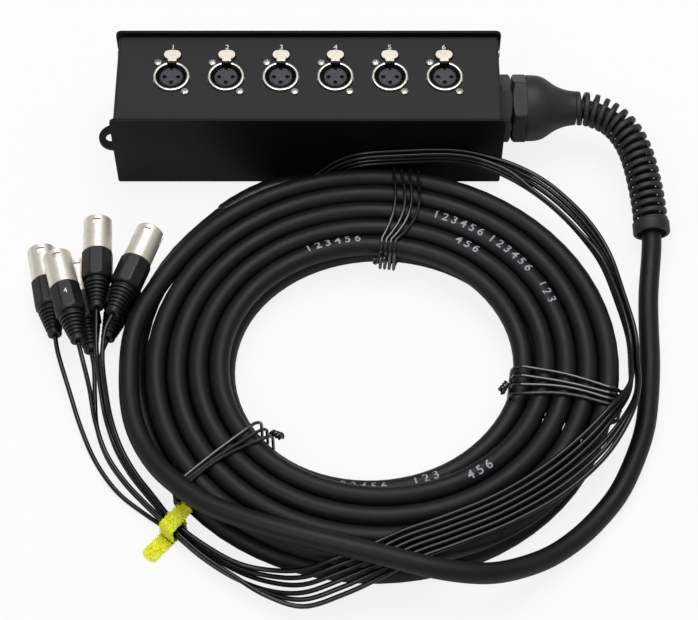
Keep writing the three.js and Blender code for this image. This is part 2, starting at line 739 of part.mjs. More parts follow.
// Coil: the top layer spirals in, the cable climbs down in half a turn, and the bottom layer spirals out.
function coilPoint(step) {
  const angle = rad(coil.startAngle) - (2 * Math.PI * step) / coil.stepsPerTurn;
  const turns = step / coil.stepsPerTurn;
  const half = coil.steps / coil.stepsPerTurn / 2;
  const climb = Math.min(Math.max((turns - half) / coil.climbTurns + 0.5, 0), 1);
  const spread = smoothShare((step - coil.steps + coil.runOutSteps) / coil.runOutSteps);
  const radius = coil.innerRadius + coil.turnPitch * Math.abs(half - turns) + coil.oval * Math.cos(2 * angle)
    + coil.runOut * spread;
  const x = coil.centreX + radius * Math.cos(angle);
  const y = coil.centreY + radius * Math.sin(angle);
  return new THREE.Vector3(x, y, coilBase + coil.layerRise * (1 - climb));
}

// Centres of the coil's stations, with a straight run of one cable diameter at each end.
function coilStations() {
  const points = [];
  for (let step = 0; step <= coil.steps; step += 1) {
    points.push(coilPoint(step));
  }
  const run = 2 * cable.radius;
  const startAngle = rad(coil.startAngle);
  const endAngle = startAngle - (2 * Math.PI * coil.steps) / coil.stepsPerTurn;
  const heading = (angle) => new THREE.Vector3(Math.sin(angle), -Math.cos(angle), 0);
  points.unshift(points[0].clone().addScaledVector(heading(startAngle), -run));
  points.push(points[points.length - 1].clone().addScaledVector(heading(endAngle), run));
  return points;
}

// The lead and the sleeve each meet the coil's end face square, after a short straight run.
function joinCoil(end, inner) {
  const outward = end.clone().sub(inner).normalize();
  const face = end.clone().addScaledVector(outward, seatGap);
  return [face, face.clone().addScaledVector(outward, cable.radius)];
}

const coilPoints = coilStations();
const leadJoin = joinCoil(coilPoints[0], coilPoints[1]);
const sleeveJoin = joinCoil(coilPoints[coilPoints.length - 1], coilPoints[coilPoints.length - 2]);
const leadCurve = new THREE.CatmullRomCurve3([...toVectors(leadRoute), leadJoin[1], leadJoin[0]]);
const sleeveCurve = new THREE.CatmullRomCurve3([...sleeveJoin, ...toVectors(sleeveRoute)]);

// Dome nut and its spiral: the band winds round the lead's own curve and ends in a plain cuff.
function buildDomeNut() {
  const start = glandFaceX + domeNut.start;
  const hexEnd = start + domeNut.hexLength;
  const hex = hexNut(domeNut.across, domeNut.cornerRadius, start, hexEnd, domeNut.chamfer, domeNut.turn);
  const profile = domeNut.stationShares.map((share, index) => [
    domeNut.domeRadius * domeNut.radiusShares[index], hexEnd + share * domeNut.domeLength,
  ]);
  const domeEnd = hexEnd + domeNut.domeLength;
  const domeStart = hexEnd - overrun;
  const dome = revolve([[0, domeStart], [domeNut.domeRadius, domeStart], ...profile, [0, domeEnd]], 18);
  const cavityRadius = gland.mouthRadius + domeNut.mouthClearance;
  const cavityEnd = start + domeNut.cavityLength;
  const taperEnd = cavityEnd + domeNut.noseCavityLength;
  const boreRadius = gland.boreRadius + seatGap;
  const hollow = revolve([
    [0, start - overrun], [cavityRadius, start - overrun], [cavityRadius, cavityEnd], [boreRadius, taperEnd],
    [boreRadius, domeEnd + overrun], [0, domeEnd + overrun],
  ], 14);
  const nose = alongX(cut(join(hex, dome), hollow));

  const totalLength = leadCurve.getLength();
  const startShare = (domeEnd - leadRoute[0][0]) / totalLength;
  const lengthShare = spiral.length / totalLength;
  const steps = spiral.curls * spiral.stepsPerCurl;
  const bandMiddle = spiral.outerRadius - spiral.bandRadial / 2;
  const up = new THREE.Vector3(0, 0, 1);
  const stations = [];
  for (let k = 0; k <= steps; k += 1) {
    const along = startShare + lengthShare * (k / steps) - lengthShare / steps;
    const middle = leadCurve.getPointAt(along);
    const tangent = leadCurve.getTangentAt(along);
    const sideB = up.clone().addScaledVector(tangent, -up.dot(tangent)).normalize();
    const sideA = sideB.clone().cross(tangent);
    const angle = (2 * Math.PI * k) / spiral.stepsPerCurl;
    const outward = sideA.multiplyScalar(Math.cos(angle)).addScaledVector(sideB, Math.sin(angle));
    const centre = middle.addScaledVector(outward, bandMiddle);
    stations.push({ centre, sideA: outward, sideB: tangent.clone().negate() });
  }
  const band = sweep(stations, spiral.bandRadial / 2 / Math.cos(Math.PI / spiral.sides),
    spiral.bandAxial / 2, spiral.sides);

  const cuffStart = leadCurve.getPointAt(startShare + lengthShare - 2 * lengthShare / spiral.curls / 3);
  const cuffHeading = leadCurve.getTangentAt(startShare + lengthShare);
  const cuff = revolve([
    [spiral.cuffBoreRadius, 0], [spiral.cuffRadius, 0], [spiral.cuffRadius, spiral.cuffLength],
    [spiral.cuffBoreRadius, spiral.cuffLength],
  ], 12);
  const turn = new THREE.Quaternion().setFromUnitVectors(up, cuffHeading);
  cuff.applyQuaternion(turn);
  cuff.translate(cuffStart.x, cuffStart.y, cuffStart.z);
  addPart('dome_nut_with_spiral', join(nose, band, cuff), finishes.nylon);
}

// Multicore.
function leastGap(points, radius) {
  let least = Infinity;
  const skip = 5;
  for (let i = 0; i < points.length; i += 1) {
    for (let j = i + skip; j < points.length; j += 1) {
      least = Math.min(least, points[i].distanceTo(points[j]) - 2 * radius);
    }
  }
  return least;
}

function buildCoil() {
  const middles = [];
  for (let k = 0; k + 1 < coilPoints.length; k += 1) {
    middles.push(coilPoints[k].clone());
    middles.push(coilPoints[k].clone().add(coilPoints[k + 1]).multiplyScalar(0.5));
  }
  console.log('least gap of the coil to itself', leastGap(middles, cable.radius).toFixed(2));
  const stations = stationsAlong(coilPoints, new THREE.Vector3(0, 0, 1));
  addPart('multicore_coil', sweep(stations, cable.radius, cable.radius, coil.sides), finishes.jacket);
}

function buildMulticore() {
  const steps = Math.round(leadCurve.getLength() / (cable.stepsShare * cable.radius));
  addPart('multicore_lead', roundTube(leadCurve, cable.radius, cable.sides, steps), finishes.jacket);
  buildCoil();
  const shrunk = roundTube(sleeveCurve, sleeve.radius, sleeve.sides, sleeve.steps);
  addPart('breakout_sleeve', shrunk, finishes.rubber);
  const loomCurve = new THREE.CatmullRomCurve3(toVectors(loomRoute));
  addPart('core_loom', roundTube(loomCurve, loom.radius, loom.sides, loom.steps), finishes.tail);
}

// Tails.
function bundlePoint(tailIndex, row) {
  const [x, y, z, side, rise, flat, tilt] = bundleRoute[row];
  const before = bundleRoute[Math.max(row - 1, 0)];
  const after = bundleRoute[Math.min(row + 1, bundleRoute.length - 1)];
  const heading = new THREE.Vector2(after[0] - before[0], after[1] - before[1]).normalize();
  const columnSide = tailIndex % 2 === 0 ? -1 : 1;
  const level = Math.floor(tailIndex / 2);
  const across = columnSide * (0.5 + level * flat) * side;
  const lift = level * (1 - flat) * rise - tilt * across;
  return new THREE.Vector3(x - heading.y * across, y + heading.x * across, z + lift);
}

function plugHeading(place) {
  return new THREE.Vector3(Math.sin(rad(place.heading)), -Math.cos(rad(place.heading)), 0);
}

function buildTails() {
  plugPlaces.forEach((place, index) => {
    const points = bundleRoute.map((station, row) => bundlePoint(index, row));
    points.push(...toVectors(tailEndRoutes[index]));
    const openEnd = new THREE.Vector3(place.x, place.y, place.z);
    const bootEnd = openEnd.clone().addScaledVector(plugHeading(place), plug.length);
    const straight = 8 * tailCable.radius;
    points.push(bootEnd.clone().addScaledVector(plugHeading(place), straight));
    points.push(bootEnd.clone().addScaledVector(plugHeading(place), seatGap));
    const tube = roundTube(routeCurve(points), tailCable.radius, tailCable.sides, points.length - 1);
    addPart(`tail_cable_${place.label}`, tube, finishes.tail);
  });
}

// Plugs, each built along +Z from its open end and then laid down.
function buildPlugShell() {
  const shellEnd = plug.shellVisible + plug.shellTailLength;
  const shell = revolve([
    [plug.shellBoreRadius, 0], [plug.shellRadius, 0], [plug.shellRadius, plug.shellVisible],
    [plug.shellTailRadius, plug.shellVisible], [plug.shellTailRadius, shellEnd],
    [plug.shellTailRadius - plug.shellTailWall, shellEnd],
    [plug.shellTailRadius - plug.shellTailWall, plug.insertFace + plug.insertLength + seatGap],
    [plug.shellBoreRadius, plug.insertFace + plug.insertLength + seatGap],
  ], 12);
  const windowHalf = plug.windowWidth / 2;
  const latchWindow = block(-windowHalf, windowHalf, plug.insertRadius - overrun, plug.shellRadius + overrun,
    plug.windowStart, plug.windowStart + plug.windowLength);
  const keyHalf = plug.keyWidth / 2;
  const keySlot = block(plug.insertRadius - overrun, plug.shellRadius + overrun, -keyHalf, keyHalf,
    -overrun, plug.keyLength);
  return cut(shell, latchWindow, keySlot);
}

function buildPlugInsert() {
  const end = plug.insertFace + plug.insertLength;
  const disc = column(plug.insertRadius, plug.insertFace, end, 12);
  const pins = [0, 90, 180].map((angle) => {
    const x = plug.pinCircle * Math.cos(rad(angle));
    const y = -plug.pinCircle * Math.sin(rad(angle));
    return column(plug.pinRadius, plug.pinTip, plug.insertFace + overrun, 5, x, y);
  });
  return join(disc, ...pins);
}

function buildBoot() {
  const start = plug.shellVisible + seatGap;
  const bodyEnd = start + plug.bootBodyLength;
  const neckEnd = bodyEnd + plug.bootNeckLength;
  const ribsEnd = plug.length - plug.bootEndLength;
  const ribPitch = (ribsEnd - neckEnd) / plug.ribs;
  // The boot is turned with flat facets, so its inner sizes are measured to the flats.
  const toCorner = 1 / Math.cos(Math.PI / plug.bootSides);
  const inner = (plug.shellTailRadius + seatGap) * toCorner;
  const tailEnd = plug.shellVisible + plug.shellTailLength + seatGap;
  const bore = plug.bootBoreRadius * toCorner;
  const outline = [
    [bore, plug.length], [bore, tailEnd], [inner, tailEnd], [inner, start],
    [plug.bootRadius - plug.roundRadius / 2, start], [plug.bootRadius, start + plug.roundRadius],
    [plug.bootRadius, bodyEnd - plug.roundRadius],
    [plug.ribStartRadius - plug.grooveDepth, bodyEnd + plug.bootNeckLength / 2],
  ];
  for (let rib = 0; rib < plug.ribs; rib += 1) {
    const share = rib / (plug.ribs - 1);
    const radius = plug.ribStartRadius + share * (plug.ribEndRadius - plug.ribStartRadius);
    const from = neckEnd + rib * ribPitch;
    outline.push([radius, from + ribPitch / 2]);
    outline.push([radius - plug.grooveDepth, from + ribPitch]);
  }
  outline.push([plug.bootEndRadius, plug.length]);
  return revolve(outline, plug.bootSides).rotateZ(Math.PI / plug.bootSides);
}

function buildPlugs() {
  const shell = buildPlugShell();
  const core = buildPlugInsert();
  const boot = buildBoot();
  for (const place of plugPlaces) {
    const group = new THREE.Group();
    group.position.set(place.x, place.y, place.z);
    const basisZ = plugHeading(place);
    const basisY = new THREE.Vector3(0, 0, 1);
    const basisX = basisY.clone().cross(basisZ);
    group.quaternion.setFromRotationMatrix(new THREE.Matrix4().makeBasis(basisX, basisY, basisZ));
    product.add(group);
    addPart(`plug_shell_${place.label}`, shell, finishes.nickel, group);
    addPart(`plug_insert_${place.label}`, core, finishes.moulding, group);
    addPart(`plug_boot_${place.label}`, boot, finishes.rubber, group);
  }
}

// Ties. One wire winds round the coil's section: over the strands, down the outside and back underneath.
function coilSection(angleDegrees) {
  const layers = { top: [], bottom: [] };
  for (let step = 0; step < coil.steps; step += 1) {
    const here = coilPoint(step);
    const next = coilPoint(step + 1);
    const angleHere = Math.atan2(here.y - coil.centreY, here.x - coil.centreX);
    const angleNext = Math.atan2(next.y - coil.centreY, next.x - coil.centreX);
    const target = rad(angleDegrees);
    const span = THREE.MathUtils.euclideanModulo(angleHere - angleNext, 2 * Math.PI);
    const offset = THREE.MathUtils.euclideanModulo(angleHere - target, 2 * Math.PI);
    if (offset < span) {
      const point = here.clone().lerp(next, offset / span);
      const radius = Math.hypot(point.x - coil.centreX, point.y - coil.centreY);
      const layer = point.z > coilBase + coil.layerRise / 2 ? layers.top : layers.bottom;
      layer.push(radius);
    }
  }
  return layers;
}

function buildTwistTie(name, angleDegrees, loops) {
  const section = coilSection(angleDegrees);
  const wrap = cable.radius + tie.wrapGap + tie.radius;
  const upperZ = coilBase + coil.layerRise;
  const corners = [
    { radius: Math.max(...section.top), z: upperZ, from: 0 },
    { radius: Math.min(...section.top, ...section.bottom), z: upperZ, from: 90 },
    { radius: Math.min(...section.top, ...section.bottom), z: coilBase, from: 180 },
    { radius: Math.max(...section.bottom, ...section.top), z: coilBase, from: 270 },
  ];
  const outward = new THREE.Vector3(Math.cos(rad(angleDegrees)), Math.sin(rad(angleDegrees)), 0);
  const along = new THREE.Vector3(-outward.y, outward.x, 0);
  const up = new THREE.Vector3(0, 0, 1);
  const perLoop = corners.length * tie.stepsPerCorner;
  const count = loops * perLoop;
  const points = [];
  const origin = new THREE.Vector3(coil.centreX, coil.centreY, 0);
  for (let k = 0; k < count; k += 1) {
    const corner = corners[Math.floor(k / tie.stepsPerCorner) % corners.length];
    const bend = corner.from + (90 * (k % tie.stepsPerCorner)) / (tie.stepsPerCorner - 1);
    const point = origin.clone();
    point.addScaledVector(outward, corner.radius + wrap * Math.cos(rad(bend)));
    point.addScaledVector(up, corner.z + wrap * Math.sin(rad(bend)));
    point.addScaledVector(along, (k / perLoop - loops / 2) * tie.loopPitch);
    points.push(point);
  }
  const stations = stationsAlong(points, along);
  addPart(name, sweep(stations, tie.radius, tie.radius, tie.sides), finishes.tail);
}

function buildStrap() {
  const last = bundleRoute[bundleRoute.length - 1];
  const before = bundleRoute[bundleRoute.length - 2];
  const heading = Math.atan2(last[1] - before[1], last[0] - before[0]);
  const outerHalf = strap.halfInner + strap.thickness;
  const top = strap.base + strap.innerHeight + 2 * strap.thickness;
  const outline = roundedRect(2 * outerHalf, top - strap.base, strap.corner + strap.thickness);
  const opening = roundedRect(2 * strap.halfInner, strap.innerHeight, strap.corner);
  outline.holes.push(opening);
  const loop = extrude(outline, strap.width, strap.steps);
  loop.translate(0, (strap.base + top) / 2, -strap.width / 2);
  loop.rotateX(Math.PI / 2);
  const flag = block(-outerHalf - strap.flag, strap.corner - outerHalf, -strap.width / 2, strap.width / 2,
    strap.base, strap.base + strap.thickness);
  const band = join(loop, flag);
  band.rotateZ(heading - Math.PI / 2);
  band.translate(last[0], last[1], 0);
  addPart('yellow_strap', band, finishes.yellow);
}

buildChassis();
buildCover();
buildSideScrews();
buildSockets();
buildGland();
buildDomeNut();
buildMulticore();
buildTails();
buildPlugs();
for (const [name, angle] of Object.entries(tieAngles)) {
  buildTwistTie(name, angle, tieLoops[name]);
}
buildStrap();

export default product;
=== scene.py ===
"""Stage box snake: a six way microphone box, its coiled multicore cable and six plugged tails.

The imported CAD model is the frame, and every shown piece is dressed here. Sizes are in millimetres inside the
classes and turn to metres where a mesh is made. +X runs along the sockets to the gland, +Y away from the
coil.
"""
import logging
import math
import random
from dataclasses import dataclass, field
from enum import Enum
from typing import Callable, Iterable, Sequence

import bmesh
import bpy
from mathutils import Matrix, Vector


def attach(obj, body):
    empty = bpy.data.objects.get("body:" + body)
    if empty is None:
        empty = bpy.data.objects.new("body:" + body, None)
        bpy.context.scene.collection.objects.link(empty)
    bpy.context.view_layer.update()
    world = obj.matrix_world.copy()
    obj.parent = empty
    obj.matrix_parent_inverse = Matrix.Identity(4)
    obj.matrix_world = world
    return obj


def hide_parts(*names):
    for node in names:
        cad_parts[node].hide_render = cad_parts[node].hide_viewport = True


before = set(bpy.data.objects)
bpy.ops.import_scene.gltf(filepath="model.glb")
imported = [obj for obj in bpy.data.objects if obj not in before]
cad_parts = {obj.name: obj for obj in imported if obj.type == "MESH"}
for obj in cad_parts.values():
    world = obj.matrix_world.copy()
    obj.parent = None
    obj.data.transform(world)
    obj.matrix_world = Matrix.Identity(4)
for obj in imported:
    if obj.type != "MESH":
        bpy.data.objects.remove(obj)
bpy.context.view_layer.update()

log = logging.getLogger("stage_box_snake")

MM = 0.001
FULL_TURN = 2 * math.pi
# Clearance between pieces that touch, in millimetres, as in the CAD model.
SEAT_GAP = 0.3
# Points nearer than this become one, in millimetres.
WELD = 0.0005
# Edges flatter than this many degrees are shaded smooth.
SOFT_ANGLE = 32.0
# Height of a digit as a share of its font size.
DIGIT_SHARE = 0.7
UP = Vector((0, 0, 1))
MAIN_BODY = "snake"

Profile = Sequence[tuple[float, float]]
Route = Sequence[tuple[float, float, float]]
Material = bpy.types.Material
Mesh = bpy.types.Mesh
Object = bpy.types.Object
Socket = bpy.types.NodeSocket
Tree = bpy.types.NodeTree


class Slot(Enum):
    """Names of material slots; the pieces take their finish from their Finish instead."""

    CHASSIS = "chassis_paint"
    PANEL = "panel_paint"
    STEEL = "steel"
    NICKEL = "nickel"
    INSERT = "insert_plastic"
    BOOT = "boot_rubber"
    GLAND = "gland_nylon"
    JACKET = "cable_jacket"
    TAIL = "tail_jacket"
    STRAP = "strap_yellow"


def linked(name: str, data: bpy.types.ID) -> Object:
    """Makes an object of some data, in the scene."""
    made = bpy.data.objects.new(name, data)
    bpy.context.collection.objects.link(made)
    return made


def drop(shape: Object) -> None:
    """Removes a helper object and its mesh."""
    data = shape.data
    bpy.data.objects.remove(shape)
    bpy.data.meshes.remove(data)


# Finishes


def linear(code: str) -> tuple[float, float, float, float]:
    """Turns an sRGB hex colour to the linear colour that shaders read.

    Args:
        code: Six hex digits, such as "3b3b3d".

    Returns:
        Linear red, green, blue and an alpha of 1.
    """
    shares = [int(code[i : i + 2], 16) / 255 for i in (0, 2, 4)]
    made = [s / 12.92 if s <= 0.04045 else ((s + 0.055) / 1.055) ** 2.4 for s in shares]
    return (made[0], made[1], made[2], 1.0)


def add_node(tree: Tree, kind: str, inputs: dict | None = None, **settings: object) -> bpy.types.Node:
    """Adds a node with its settings, and sets or links its inputs.

    Args:
        tree: The tree that gets the node.
        kind: The node's type name.
        inputs: Value or output socket for each input, by name or number.
        **settings: Properties of the node itself.

    Returns:
        The new node.
    """
    node = tree.nodes.new(kind)
    for key, value in settings.items():
        setattr(node, key, value)
    for key, value in (inputs or {}).items():
        if isinstance(value, Socket):
            tree.links.new(value, node.inputs[key])
        else:
            node.inputs[key].default_value = value
    return node


def blended(tree: Tree, share: object, first: object, second: object) -> Socket:
    """Mixes two colours.

    Args:
        tree: The tree that gets the node.
        share: Share of the second colour, as a value or a socket.
        first: The first colour, or its socket.
        second: The second colour, or its socket.

    Returns:
        The socket with the mixed colour.
    """
    node = add_node(tree, "ShaderNodeMix", data_type="RGBA")
    for index, value in ((0, share), (6, first), (7, second)):
        if isinstance(value, Socket):
            tree.links.new(value, node.inputs[index])
        else:
            node.inputs[index].default_value = value
    return node.outputs[2]


# How far from an edge the painted highlight reaches, in millimetres.
EDGE_HIGHLIGHT_REACH = 0.6
# How alike the true and the rounded normal are where the painted edge highlight starts and where it is full.
HIGHLIGHT_FROM, HIGHLIGHT_FULL = 0.995, 0.85
# Part of the blotches' range over which the roughness goes from its least to its most.
ROUGH_FROM, ROUGH_TO = 0.3, 0.7


@dataclass(frozen=True)
class Finish:
    """A surface: what it is made of, its colours, and its grain in millimetres."""

    name: str
    colour: str
    second: str
    roughness: float
    metallic: float = 0.0
    ior: float = 1.5
    grain: float = 0.6
    grain_height: float = 0.02
    mottle: float = 25.0
    mottle_from: float = 0.45
    mottle_to: float = 0.75
    roughness_spread: float = 0.06
    # Share and colour of a pale highlight painted along the edges.
    edge_highlight: float = 0.0
    edge_highlight_colour: str = "8a8a8c"

    def build(self) -> Material:
        """Makes the material, once, and returns it."""
        known = bpy.data.materials.get(self.name)
        if known:
            return known
        material = bpy.data.materials.new(self.name)
        material.use_nodes = True
        tree = material.node_tree
        tree.nodes.clear()
        place = add_node(tree, "ShaderNodeTexCoord").outputs["Object"]
        blotches = add_node(tree, "ShaderNodeTexNoise", {
            "Vector": place, "Scale": 1 / (self.mottle * MM), "Detail": 5.0, "Roughness": 0.6,
        }).outputs[0]
        share = add_node(tree, "ShaderNodeMapRange", {
            "Value": blotches, "From Min": self.mottle_from, "From Max": self.mottle_to,
        }).outputs[0]
        colour = blended(tree, share, linear(self.colour), linear(self.second))
        # Paints a pale highlight along the edges, where the rounded normal turns from the true one, broken up
        # by the blotches.
        if self.edge_highlight:
            rounded = add_node(tree, "ShaderNodeBevel", {"Radius": EDGE_HIGHLIGHT_REACH * MM}, samples=4).outputs[0]
            plain = add_node(tree, "ShaderNodeNewGeometry").outputs["Normal"]
            alike = add_node(tree, "ShaderNodeVectorMath", {0: rounded, 1: plain}, operation="DOT_PRODUCT")
            edge = add_node(tree, "ShaderNodeMapRange", {
                "Value": alike.outputs["Value"], "From Min": HIGHLIGHT_FROM, "From Max": HIGHLIGHT_FULL,
                "To Max": self.edge_highlight,
            }).outputs[0]
            highlighted = add_node(tree, "ShaderNodeMath", {0: edge, 1: blotches}, operation="MULTIPLY").outputs[0]
            colour = blended(tree, highlighted, colour, linear(self.edge_highlight_colour))
        rough = add_node(tree, "ShaderNodeMapRange", {
            "Value": blotches, "From Min": ROUGH_FROM, "From Max": ROUGH_TO,
            "To Min": self.roughness - self.roughness_spread,
            "To Max": self.roughness + self.roughness_spread,
        }).outputs[0]
        grains = add_node(tree, "ShaderNodeTexNoise", {
            "Vector": place, "Scale": 1 / (self.grain * MM), "Detail": 2.0, "Roughness": 0.5,
        }).outputs[0]
        bump = add_node(tree, "ShaderNodeBump", {
            "Height": grains, "Strength": 1.0, "Distance": self.grain_height * MM,
        }).outputs[0]
        shader = add_node(tree, "ShaderNodeBsdfPrincipled", {
            "Base Color": colour, "Roughness": rough, "Metallic": self.metallic, "IOR": self.ior,
            "Normal": bump,
        })
        add_node(tree, "ShaderNodeOutputMaterial", {"Surface": shader.outputs[0]})
        return material


# Black powder coat on bent steel: a fine orange peel that breaks the highlight, and a pale highlight painted
# on the edges.
CHASSIS_COAT = Finish("powder_coat_black_steel", "060607", "0a0a0b", 0.5, ior=1.27, grain=0.7,
                      grain_height=0.03, edge_highlight=0.2)
# Dark grey satin powder coat of the panel, a little finer than the chassis, with a fainter painted edge
# highlight.
PANEL_COAT = Finish("powder_coat_grey_steel", "232325", "262628", 0.55, ior=1.35, grain=0.6,
                    grain_height=0.02, mottle=40, edge_highlight=0.12)
# Satin nickel plate on die-cast zinc: bright, warm, with soft wipe marks.
NICKEL_PLATE = Finish("satin_nickel_plate", "ece8df", "ddd7ca", 0.25, metallic=1.0, grain=0.8,
                      grain_height=0.004, mottle=9, roughness_spread=0.05)
# Satin nickel of the plug shells, creamier and duller than the sockets.
SHELL_NICKEL = Finish("satin_nickel_plug_shell", "f8f2e6", "e6dfcf", 0.42, metallic=0.75, grain=0.5,
                      grain_height=0.006, mottle=7, roughness_spread=0.06)
# Blackened spring steel of the latch stems.
LATCH_STEEL = Finish("blackened_latch_steel", "1d1d1f", "262628", 0.45, metallic=0.6, grain=0.5,
                     grain_height=0.01, mottle=4)
# Tumbled nickel of the press tabs, paler and duller than the ring.
TAB_NICKEL = Finish("tumbled_nickel_tab", "e6dfd0", "d2cab8", 0.42, metallic=0.75, grain=0.5,
                    grain_height=0.012, mottle=3, roughness_spread=0.08)
# Zinc-plated steel of the screws.
SCREW_STEEL = Finish("zinc_plated_screw", "dedbd4", "c4c0b6", 0.3, metallic=1.0, grain=0.4,
                     grain_height=0.004, mottle=3)
# Silver-plated brass of the contacts.
CONTACT_METAL = Finish("silver_plated_contact", "a59c80", "7d7458", 0.3, metallic=1.0, grain=0.4,
                       grain_height=0.003, mottle=3)
# Glass-filled nylon moulding of the inserts: dark grey with a dull sheen.
INSERT_NYLON = Finish("glass_filled_nylon_insert", "3f4047", "2c2d33", 0.5, grain=0.35, grain_height=0.02,
                      mottle=0.9, mottle_from=0.4, mottle_to=0.65)
# Spark-eroded nylon of the gland: matte dark grey with a soft pale rim where light grazes it.
GLAND_NYLON = Finish("spark_eroded_nylon_gland", "242426", "2c2c2e", 0.5, ior=1.45, grain=0.35,
                     grain_height=0.02, mottle=18, roughness_spread=0.05)
# Thermoplastic rubber of the boots: near black, satin, slightly dusty.
BOOT_RUBBER = Finish("thermoplastic_rubber_boot", "0c0c0e", "131315", 0.44, grain=0.4, grain_height=0.012,
                     mottle=14)
# Flexible vinyl jacket of the multicore: matte, dark grey, with faint blotches.
CABLE_VINYL = Finish("matte_vinyl_jacket", "101012", "151517", 0.5, ior=1.38, grain=0.8, grain_height=0.02,
                     mottle=30, roughness_spread=0.07)
# Glossy vinyl of the thin tails, which throws narrow highlights.
TAIL_VINYL = Finish("glossy_vinyl_tail", "060607", "0b0b0c", 0.2, grain=1.2, grain_height=0.01, mottle=20)
# Shrunk polyolefin tube over the breakout: black, half gloss, faintly rippled.
SHRINK_TUBE = Finish("shrunk_polyolefin_sleeve", "141416", "1b1b1e", 0.36, grain=2.2, grain_height=0.06,
                     mottle=12)
# Plastic skin of the twist ties.
TIE_PLASTIC = Finish("twist_tie_plastic", "121214", "1b1b1d", 0.16, ior=1.85, grain=0.5, grain_height=0.01,
                     mottle=6)
# Looped polyester of the strap: bright greenish yellow, no gloss.
STRAP_FABRIC = Finish("looped_polyester_strap", "feff48", "f8fa34", 0.8, grain=0.55, grain_height=0.25,
                      mottle=4, mottle_from=0.4, mottle_to=0.6)
# Screen-printed white ink.
WHITE_INK = Finish("screen_print_white", "f2f2f0", "e4e4e2", 0.6, grain=0.4, grain_height=0.004, mottle=3)
# Faded grey ink on the jacket.
JACKET_INK = Finish("faded_jacket_ink", "a3a9b0", "868c93", 0.6, grain=0.4, grain_height=0.004, mottle=2)
# Coloured insulation of the cores inside the box.
CORE_SKIN = Finish("core_insulation_grey", "6c6c70", "4a4a4e", 0.5, grain=0.6, grain_height=0.01, mottle=8)


# Forms


@dataclass
class Form:
    """A closed shape under construction, in millimetres."""

    points: list[Vector] = field(default_factory=list)
    faces: list[tuple[int, ...]] = field(default_factory=list)

    def add(self, other: "Form", place: Matrix | None = None) -> "Form":
        """Adds another form's faces, moved by a matrix.

        Args:
            other: The form to add.
            place: Where it goes, or None for where it is.

        Returns:
            This form, for the next call.
        """
        base = len(self.points)
        self.points.extend(place @ p if place else p.copy() for p in other.points)
        self.faces.extend(tuple(base + i for i in face) for face in other.faces)
        return self

    def moved(self, place: Matrix) -> "Form":
        """Returns a copy of this form, moved by a matrix."""
        return Form().add(self, place)

    def mesh(self, name: str, soft_angle: float = SOFT_ANGLE, round_edges: float = 0.0) -> Mesh:
        """Makes the mesh in metres, with outward faces.

        Args:
            name: The mesh's name.
            soft_angle: Edges flatter than this many degrees are shaded smooth.
            round_edges: Width in millimetres of the rounding on sharp edges, or 0.

        Returns:
            The mesh.
        """
        mesh = bpy.data.meshes.new(name)
        mesh.from_pydata([p * MM for p in self.points], [], self.faces)
        shape = bmesh.new()
        shape.from_mesh(mesh)
        bmesh.ops.remove_doubles(shape, verts=shape.verts, dist=WELD * MM)
        bmesh.ops.recalc_face_normals(shape, faces=shape.faces)
        if round_edges:
            sharp = [
                e for e in shape.edges
                if len(e.link_faces) == 2 and e.calc_face_angle(0) > math.radians(soft_angle)
            ]
            bmesh.ops.bevel(shape, geom=sharp, offset=round_edges * MM, segments=2, profile=0.5,
                            affect="EDGES", clamp_overlap=True)
        shape.to_mesh(mesh)
        shape.free()
        mesh.polygons.foreach_set("use_smooth", [True] * len(mesh.polygons))
        mesh.set_sharp_from_angle(angle=math.radians(soft_angle))
        return evened(mesh) if round_edges else mesh


def evened(mesh: Mesh) -> Mesh:
    """Weights the shading by face area, so that flat faces look flat up to their rounded edges.

    Args:
        mesh: The mesh, which this takes the place of.

    Returns:
        The mesh with its own normals.
    """
    holder = linked("evened", mesh)
    weighting = holder.modifiers.new("weighting", "WEIGHTED_NORMAL")
    weighting.keep_sharp = True
    weighting.weight = 100
    made = bpy.data.meshes.new_from_object(holder.evaluated_get(bpy.context.evaluated_depsgraph_get()))
    name = mesh.name
    bpy.data.objects.remove(holder)
    bpy.data.meshes.remove(mesh)
    made.name = name
    return made


def bridge(rings: Sequence[Sequence[Vector]], around: bool = False) -> Form:
    """Joins rings of points by quads, with a cap at each end unless the rings close up.

    Args:
        rings: Rings with the same number of points, or of one point for a pole.
        around: True where the last ring meets the first.

    Returns:
        The closed form.
    """
    form = Form()
    starts = []
    for ring in rings:
        starts.append(len(form.points))
        form.points.extend(p.copy() for p in ring)
    count = len(rings)
    for k in range(count if around else count - 1):
        here, there = rings[k], rings[(k + 1) % count]
        a, b = starts[k], starts[(k + 1) % count]
        sides = max(len(here), len(there))
        for i in range(sides):
            j = (i + 1) % sides
            if len(here) == 1:
                form.faces.append((a, b + j, b + i))
            elif len(there) == 1:
                form.faces.append((a + i, a + j, b))
            else:
                form.faces.append((a + i, a + j, b + j, b + i))
    if not around:
        for start, ring in ((starts[0], rings[0]), (starts[-1], rings[-1])):
            if len(ring) > 2:
                form.faces.append(tuple(range(start, start + len(ring))))
    return form


def turned(profile: Profile, segments: int = 48, prism: Callable[[float], float] | None = None) -> Form:
    """Turns a profile about Z.

    Args:
        profile: Points as (radius, height). It closes on itself unless it starts and ends on the axis.
        segments: Steps round the axis.
        prism: Limit of the radius for an angle, for facets that are turned down, or None.

    Returns:
        The closed form.
    """
    rings = []
    for radius, height in profile:
        if radius < 1e-6:
            rings.append([Vector((0, 0, height))])
            continue
        ring = []
        for i in range(segments):
            angle = FULL_TURN * i / segments
            reach = min(radius, prism(angle)) if prism else radius
            ring.append(Vector((reach * math.cos(angle), reach * math.sin(angle), height)))
        rings.append(ring)
    on_axis = profile[0][0] < 1e-6 and profile[-1][0] < 1e-6
    return bridge(rings, around=not on_axis)


